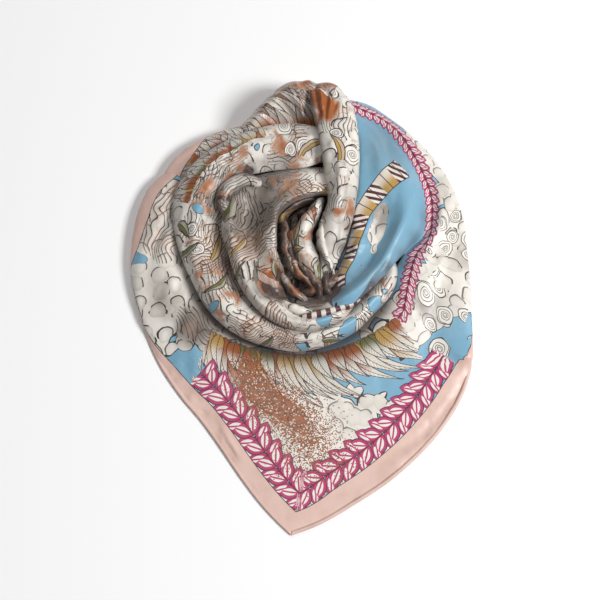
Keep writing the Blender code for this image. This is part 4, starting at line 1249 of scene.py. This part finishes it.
LOW_FOLD = (
    SPINE,
    (34, -26, 40, 200, 3, 5, 3, 5, 0),
    (32, -40, 49, 196, 7, 12, 6, 12, 0),
    (32, -54, 50, 176, 8, 12, 6, 12, 0),
    (38, -66, 44, 150, 6, 9, 5, 9, 0),
    (48, -72, 34, 120, 3, 4, 3, 4, 0),
)
KNUCKLE = (
    SPINE,
    (-48, 92, 40, 312, 6, 5, 6, 5, 0),
    (-62, 103, 54, 302, 10, 10, 8, 12, 0),
    (-80, 112, 62, 288, 13, 13, 9, 16, 5),
    (-101, 112, 65, 262, 15, 15, 10, 18, 10),
    (-119, 100, 65, 228, 15, 15, 11, 18, 10),
    (-126, 82, 62, 190, 13, 14, 11, 16, 5),
    (-121, 64, 55, 158, 9, 11, 9, 12, 0),
    (-110, 50, 44, 140, 5, 6, 5, 6, 0),
)
OLIVE_FOLD = (
    SPINE,
    (-62, -4, 48, 215, 4, 6, 4, 6, 0),
    (-71, -18, 60, 205, 9, 12, 7, 8, 0),
    (-77, -38, 65, 188, 12, 16, 8, 8, 0),
    (-77, -60, 66, 170, 12, 18, 8, 8, 0),
    (-67, -80, 63, 148, 11, 17, 7, 8, 0),
    (-50, -94, 57, 125, 8, 13, 5, 7, 0),
    (-32, -104, 46, 112, 4, 6, 4, 5, 0),
)
WHITE_TIP = (
    SPINE,
    (-34, -74, 38, 150, 3, 5, 3, 5, 0),
    (-27, -83, 48, 138, 7, 11, 7, 9, 0),
    (-15, -91, 54, 115, 9, 14, 8, 11, 0),
    (0, -95, 53, 95, 8, 13, 7, 11, 0),
    (14, -94, 40, 85, 3, 5, 3, 5, 0),
)
LIP_BAND = (
    SPINE,
    (-16, -104, 44, 100, 3, 4, 3, 4, 0),
    (0, -105, 57, 92, 6, 9, 5, 7, 0),
    (20, -102, 59, 82, 7, 12, 6, 7, 0),
    (42, -95, 57, 72, 7, 12, 6, 7, 0),
    (64, -86, 54, 62, 7, 11, 5, 7, 0),
    (80, -76, 47, 54, 4, 6, 4, 5, 0),
    (88, -70, 40, 50, 2, 3, 2, 3, 0),
)


def spine_patch(table, steps, arc, origin):
    """A fold along a spine: on each side a quarter of an ellipse from the crest, turned in underneath at its end."""
    knots = np.arange(len(table) - 1)
    at = np.linspace(0, knots[-1], steps)
    columns = {name: through(knots, column, at) for name, column in named(table).items()}
    crest = np.stack([columns["x"] + EYE[0], columns["y"] + EYE[1], columns["z"]], axis=-1)
    ahead = np.gradient(crest, axis=0)
    ahead /= np.linalg.norm(ahead, axis=1, keepdims=True)
    heading = np.radians(columns["heading"])
    right = np.stack([-np.cos(heading), np.sin(heading), 0 * heading], axis=-1)
    down = np.cross(right, ahead)
    down /= np.linalg.norm(down, axis=1, keepdims=True)
    angle = np.linspace(0, 1, arc + 1) * np.radians(90 + columns["turn"][:, None])
    halves = []
    for sign, side in ((-1, "left"), (1, "right")):
        over = sign * columns[side][:, None] * np.sin(angle)
        fall = columns[side + "_drop"][:, None] * (1 - np.cos(angle))
        halves.append(right[:, None] * over[..., None] + down[:, None] * fall[..., None])
    grid = crest[:, None] + np.concatenate([halves[0][:, :0:-1], halves[1]], axis=1)
    width = np.cumsum(np.linalg.norm(np.diff(grid, axis=1, prepend=grid[:, :1]), axis=2), axis=1)
    length = np.cumsum(np.linalg.norm(np.diff(crest, axis=0, prepend=crest[:1]), axis=1))
    flat = np.stack([width - width[:, arc : arc + 1], np.broadcast_to(-length[:, None], width.shape)], axis=-1)
    return grid, flat + origin, np.full(width.shape, NO_EDGE)


CROWN_CREASES = (
    (9, 186, 38, 76, 2, 2.5, 5), (16, 226, 32, 124, 0, -2.2, 5), (19, 212, 13, 140, 0, 2.2, 6),
    (26, 168, 26, 90, 3, 2, 5), (38, 108, 60, 50, 0, 2, 4), (14, 258, 12, 205, 0, 2, 5),
    (22, 150, 44, 74, 0, -1.8, 4), (48, 66, 90, 40, 0, -2, 4),
    (2.5, 270, 7, 198, 0, -4, 4), (5, 272, 8, 200, 0, 3, 3), (7.5, 270, 9, 202, 0, -3.5, 4),
    (9.5, 268, 10, 200, 0, 2.6, 3), (11.5, 264, 11.5, 205, 0, -2.6, 4), (4, 190, 8, 230, 0, -3, 4),
)
# The heart folds' common amounts, with a little painted shading all over.
PLAIN = {
    "lines": 0.2, "flow": 0.3, "tint": 0.5, "rust": 0.3, "clouds": 0.8, "leaves": 0.0, "plumes": 0.0, "umber_and_shade": 0.3,
    "painted_shade": 0.15,
}
HEART_FOLDS = (
    ("name", "nodes", "table", "steps", "arc", "size", "place", "rumple", "amounts"),
    ("leaf_cloth", ("heart_leaf",), LEAF, 110, 22, (0.062, 0.16), (300, 120), 2.8,
     {"rust": 0.45, "tint": 0.1, "leaves": 0.9, "umber_and_shade": 0.2, "lines": 0.4, "painted_shade": 0.0}),
    ("side_cloth", ("heart_side",), SIDE, 80, 14, (0.045, 0.105), (210, 60), 3.2,
     {"rust": 0.4, "tint": 0.7, "lines": 0.5}),
    ("knot_cloth", ("heart_knot",), KNOT, 60, 14, (0.025, 0.07), (130, 260), 3.0,
     {"rust": 0.56, "umber_and_shade": 0.5, "tint": 0.6, "lines": 0.7}),
    ("roll_cloth", ("heart_roll",), ROLL, 60, 14, (0.025, 0.07), (90, 180), 2.0,
     {"rust": 0.5, "tint": 0.4}),
    ("ledge_cloth", (), LEDGE, 60, 14, (0.028, 0.075), (250, 310), 2.4,
     {"tint": 0.9, "lines": 0.8, "plumes": 0.9, "umber_and_shade": 0.5}),
    ("inner_pleat_cloth", (), INNER_PLEAT, 90, 14, (0.033, 0.14), (20, 210), 3.6,
     {"tint": 0.5, "rust": 0.6, "umber_and_shade": 0.55}),
    ("bright_fold_cloth", (), BRIGHT_FOLD, 70, 14, (0.032, 0.107), (330, 10), 2.4,
     {"rust": 0.3, "tint": 0.0, "umber_and_shade": 0.1, "painted_shade": 0.0}),
    ("cross_fold_cloth", (), CROSS_FOLD, 70, 14, (0.028, 0.087), (170, 350), 3.4,
     {"tint": 0.8, "rust": 0.5, "lines": 0.5, "umber_and_shade": 0.5}),
    ("low_fold_cloth", (), LOW_FOLD, 60, 14, (0.024, 0.056), (380, 200), 2.4,
     {"tint": 0.9, "rust": 0.4, "umber_and_shade": 0.6}),
    ("knuckle_cloth", (), KNUCKLE, 90, 18, (0.038, 0.13), (60, 90), 1.4,
     {"tint": 0.35, "lines": 0.3, "flow": 0.55, "rust": 0.36}),
    ("olive_fold_cloth", (), OLIVE_FOLD, 90, 16, (0.031, 0.123), (260, 20), 1.6,
     {"plumes": 0.9, "leaves": 0.9, "rust": 0.3, "umber_and_shade": 0.45, "tint": 0.9, "painted_shade": 0.3}),
    ("white_tip_cloth", (), WHITE_TIP, 60, 14, (0.026, 0.062), (15, 15), 1.2,
     {"rust": 0.1, "tint": -0.2, "lines": 0.0, "flow": 0.0, "umber_and_shade": 0.0, "painted_shade": -0.15}),
    ("lip_band_cloth", (), LIP_BAND, 80, 12, (0.021, 0.118), (190, 150), 0.8,
     {"stripes": 1.0}),
)

CROWN_STEPS = 240
crown = Cloth(spine_patch(CROWN, CROWN_STEPS, 34, (40, 30)))
crown.crease(CROWN_CREASES)
crown.rumple(0.8, 34, 11)
crown.masks["strand"] = crown.flat[:, 0] / STRAND_STEP
crown.paint(
    rust=(0.24, (43, 73, 9, 0.5), (4, 262, 26, 0.75), (8, 222, 22, 0.7), (48, 90, 14, 0.4)),
    tint=(0.05, (10, 220, 30, 0.3), (30, 100, 40, 0.2)),
    clouds=0.9,
    # Painted shading in the gaps beside the crown's lower end; the negative rows take the tuck shading off its lit
    # side.
    painted_shade=(
        0.0, (16, 192, 22, -0.4), (24, 138, 26, -0.45), (33, 93, 16, -0.4), (46, 36, 12, -0.4), (60, 72, 12, 0.5),
        (82, 54, 12, 0.6),
    ),
    umber_and_shade=0.1,
    flow=(0.34, (12, 215, 36, 0.35), (30, 100, 30, 0.1)),
    leaves=0.15,
    scrolls=(0.2, (22, 150, 30, 0.3)),
)
# Painted shading towards the crown's tucked sides.
crown.paint_shade_across(CROWN_STEPS, (0, 0.2, 0.34, 0.7, 0.84, 1), (0.7, 0.4, 0, 0, 0.2, 0.5))
crown.trail("fan", 90, ((13, 288), (8, 290), (3, 288), (-2, 284)))
piece = dress(crown, "crown_cloth", ("crown_fold",))

for name, nodes, table, steps, arc, size, place, rumple, amounts in HEART_FOLDS[1:]:
    fold = Cloth(spine_patch(table, steps, arc, place))
    fold.rumple(rumple, 20, len(name))
    fold.masks["strand"] = fold.flat[:, 0] / STRAND_STEP
    fold.paint(**{**PLAIN, **amounts})
    # Painted shading towards each fold's tucked sides.
    fold.paint_shade_across(steps, (0, 0.2, 0.36, 0.64, 0.8, 1), (0.7, 0.45, 0, 0, 0.45, 0.7))
    piece = dress(fold, name, nodes)

# --- The hidden layers ---------------------------------------------------------------------------------------------
# The square's layers under the turns, as one soft bag of the same silk: crumpled where it shows deep in the pit and
# flat on the table. The turns lie on it and nothing is fixed.

CORE_SPOKES = 48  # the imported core's top is a grid of this many spokes
CORE_RINGS = 17
BAG_SPOKES = 181
BAG_RINGS = 62
BAG_DROP = 7  # mm below the core, so that it stays under the turns; none within the pit
PIT_RADIUS = 90
DROP_FADE = 30
BAG_LEAST_HEIGHT = 1.5
BAG_BASE = 0.7


def hidden_patch():
    """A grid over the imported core: its top from the middle to the edge, then back along the table."""
    core = np.array([v.co for v in bpy.data.objects["folded_core"].data.vertices]) / MM
    core = core[core[:, 2] > 0.5]
    x, y = core[:, 0] - EYE[0], core[:, 1] - EYE[1]
    radius = np.hypot(x, y)
    spoke = np.round(np.degrees(np.arctan2(x, y)) / (360 / CORE_SPOKES)).astype(int) % CORE_SPOKES
    edge = np.zeros(CORE_SPOKES)
    np.maximum.at(edge, spoke, radius)
    height = np.zeros((CORE_SPOKES, CORE_RINGS + 1))
    height[spoke, np.round(radius / edge[spoke] * CORE_RINGS).astype(int)] = core[:, 2]
    height[:, 0] = core[radius.argmin(), 2]

    turns = np.linspace(0, CORE_SPOKES, BAG_SPOKES)
    shares = np.linspace(0, 1, BAG_RINGS)
    around = np.arange(-2, CORE_SPOKES + 3)
    *columns, edge = (through(around, np.take(column, around, mode="wrap"), turns) for column in (*height.T, edge))
    line = np.array([through(np.linspace(0, 1, CORE_RINGS + 1), row, shares) for row in np.array(columns).T])
    reach = edge[:, None] * shares
    line = np.maximum(line - BAG_DROP * np.clip((reach - PIT_RADIUS) / DROP_FADE, 0, 1), BAG_LEAST_HEIGHT)
    under = reach[:, ::-4]
    section = np.concatenate([
        np.stack([reach, line], axis=-1), np.stack([under, np.full_like(under, BAG_BASE)], axis=-1),
    ], axis=1)
    clock = turns * 360 / CORE_SPOKES
    flat = unrolled(clock, section, np.full(BAG_SPOKES, 1.0))
    return ring(clock, section), flat, np.full(section.shape[:2], NO_EDGE)


hidden = Cloth(hidden_patch())
hidden.crease((
    (300, 40, 200, 30, 0, 4, 5), (330, 60, 20, 30, 0, -3, 5), (340, 90, 10, 100, 0, 4, 5),
    (220, 50, 180, 60, 0, 3, 4), (0, 120, 14, 60, 0, 3, 5), (300, 70, 340, 60, 0, 3, 4),
))
# Painted shading: the bag is darkened all over with a grey wash, umber patches and shading, as it shows only deep in
# the pit.
hidden.paint(tint=0.9, rust=0.3, lines=0.6, umber_and_shade=0.6, painted_shade=0.6)
piece = dress(hidden, "hidden_layers", ("folded_core",))

# --- The hems ------------------------------------------------------------------------------------------------------
# The blush edge is rolled over and sewn down by hand: two narrow strips, one along each side of the open corner,
# with a short stitch every few millimetres.

HEMS = (
    ("name", "node", "low", "high"),
    ("hem_right_cloth", "hem_right", 118, CORNER_CLOCK),
    ("hem_left_cloth", "hem_left", CORNER_CLOCK, 297),
)
HEM_INSETS = (6, 3, 0.4)  # mm inwards from the outline: the hem's inner edge, its middle and its outer edge
HEM_HEIGHT = 3.6
HEM_EDGE = 3.0  # the whole hem is of the border's blush

for name, node, low, high in HEMS[1:]:
    clock = np.linspace(low, high, 200)
    radius = outline(np.clip(clock, low + 0.01, high - 0.01))
    line = np.stack([np.stack([radius - d, np.full_like(radius, HEM_HEIGHT)], axis=-1) for d in HEM_INSETS], axis=1)
    fold = Cloth((ring(clock, line), unrolled(clock, line, radius), np.full(line.shape[:2], HEM_EDGE)))
    dress(fold, name, (node,))
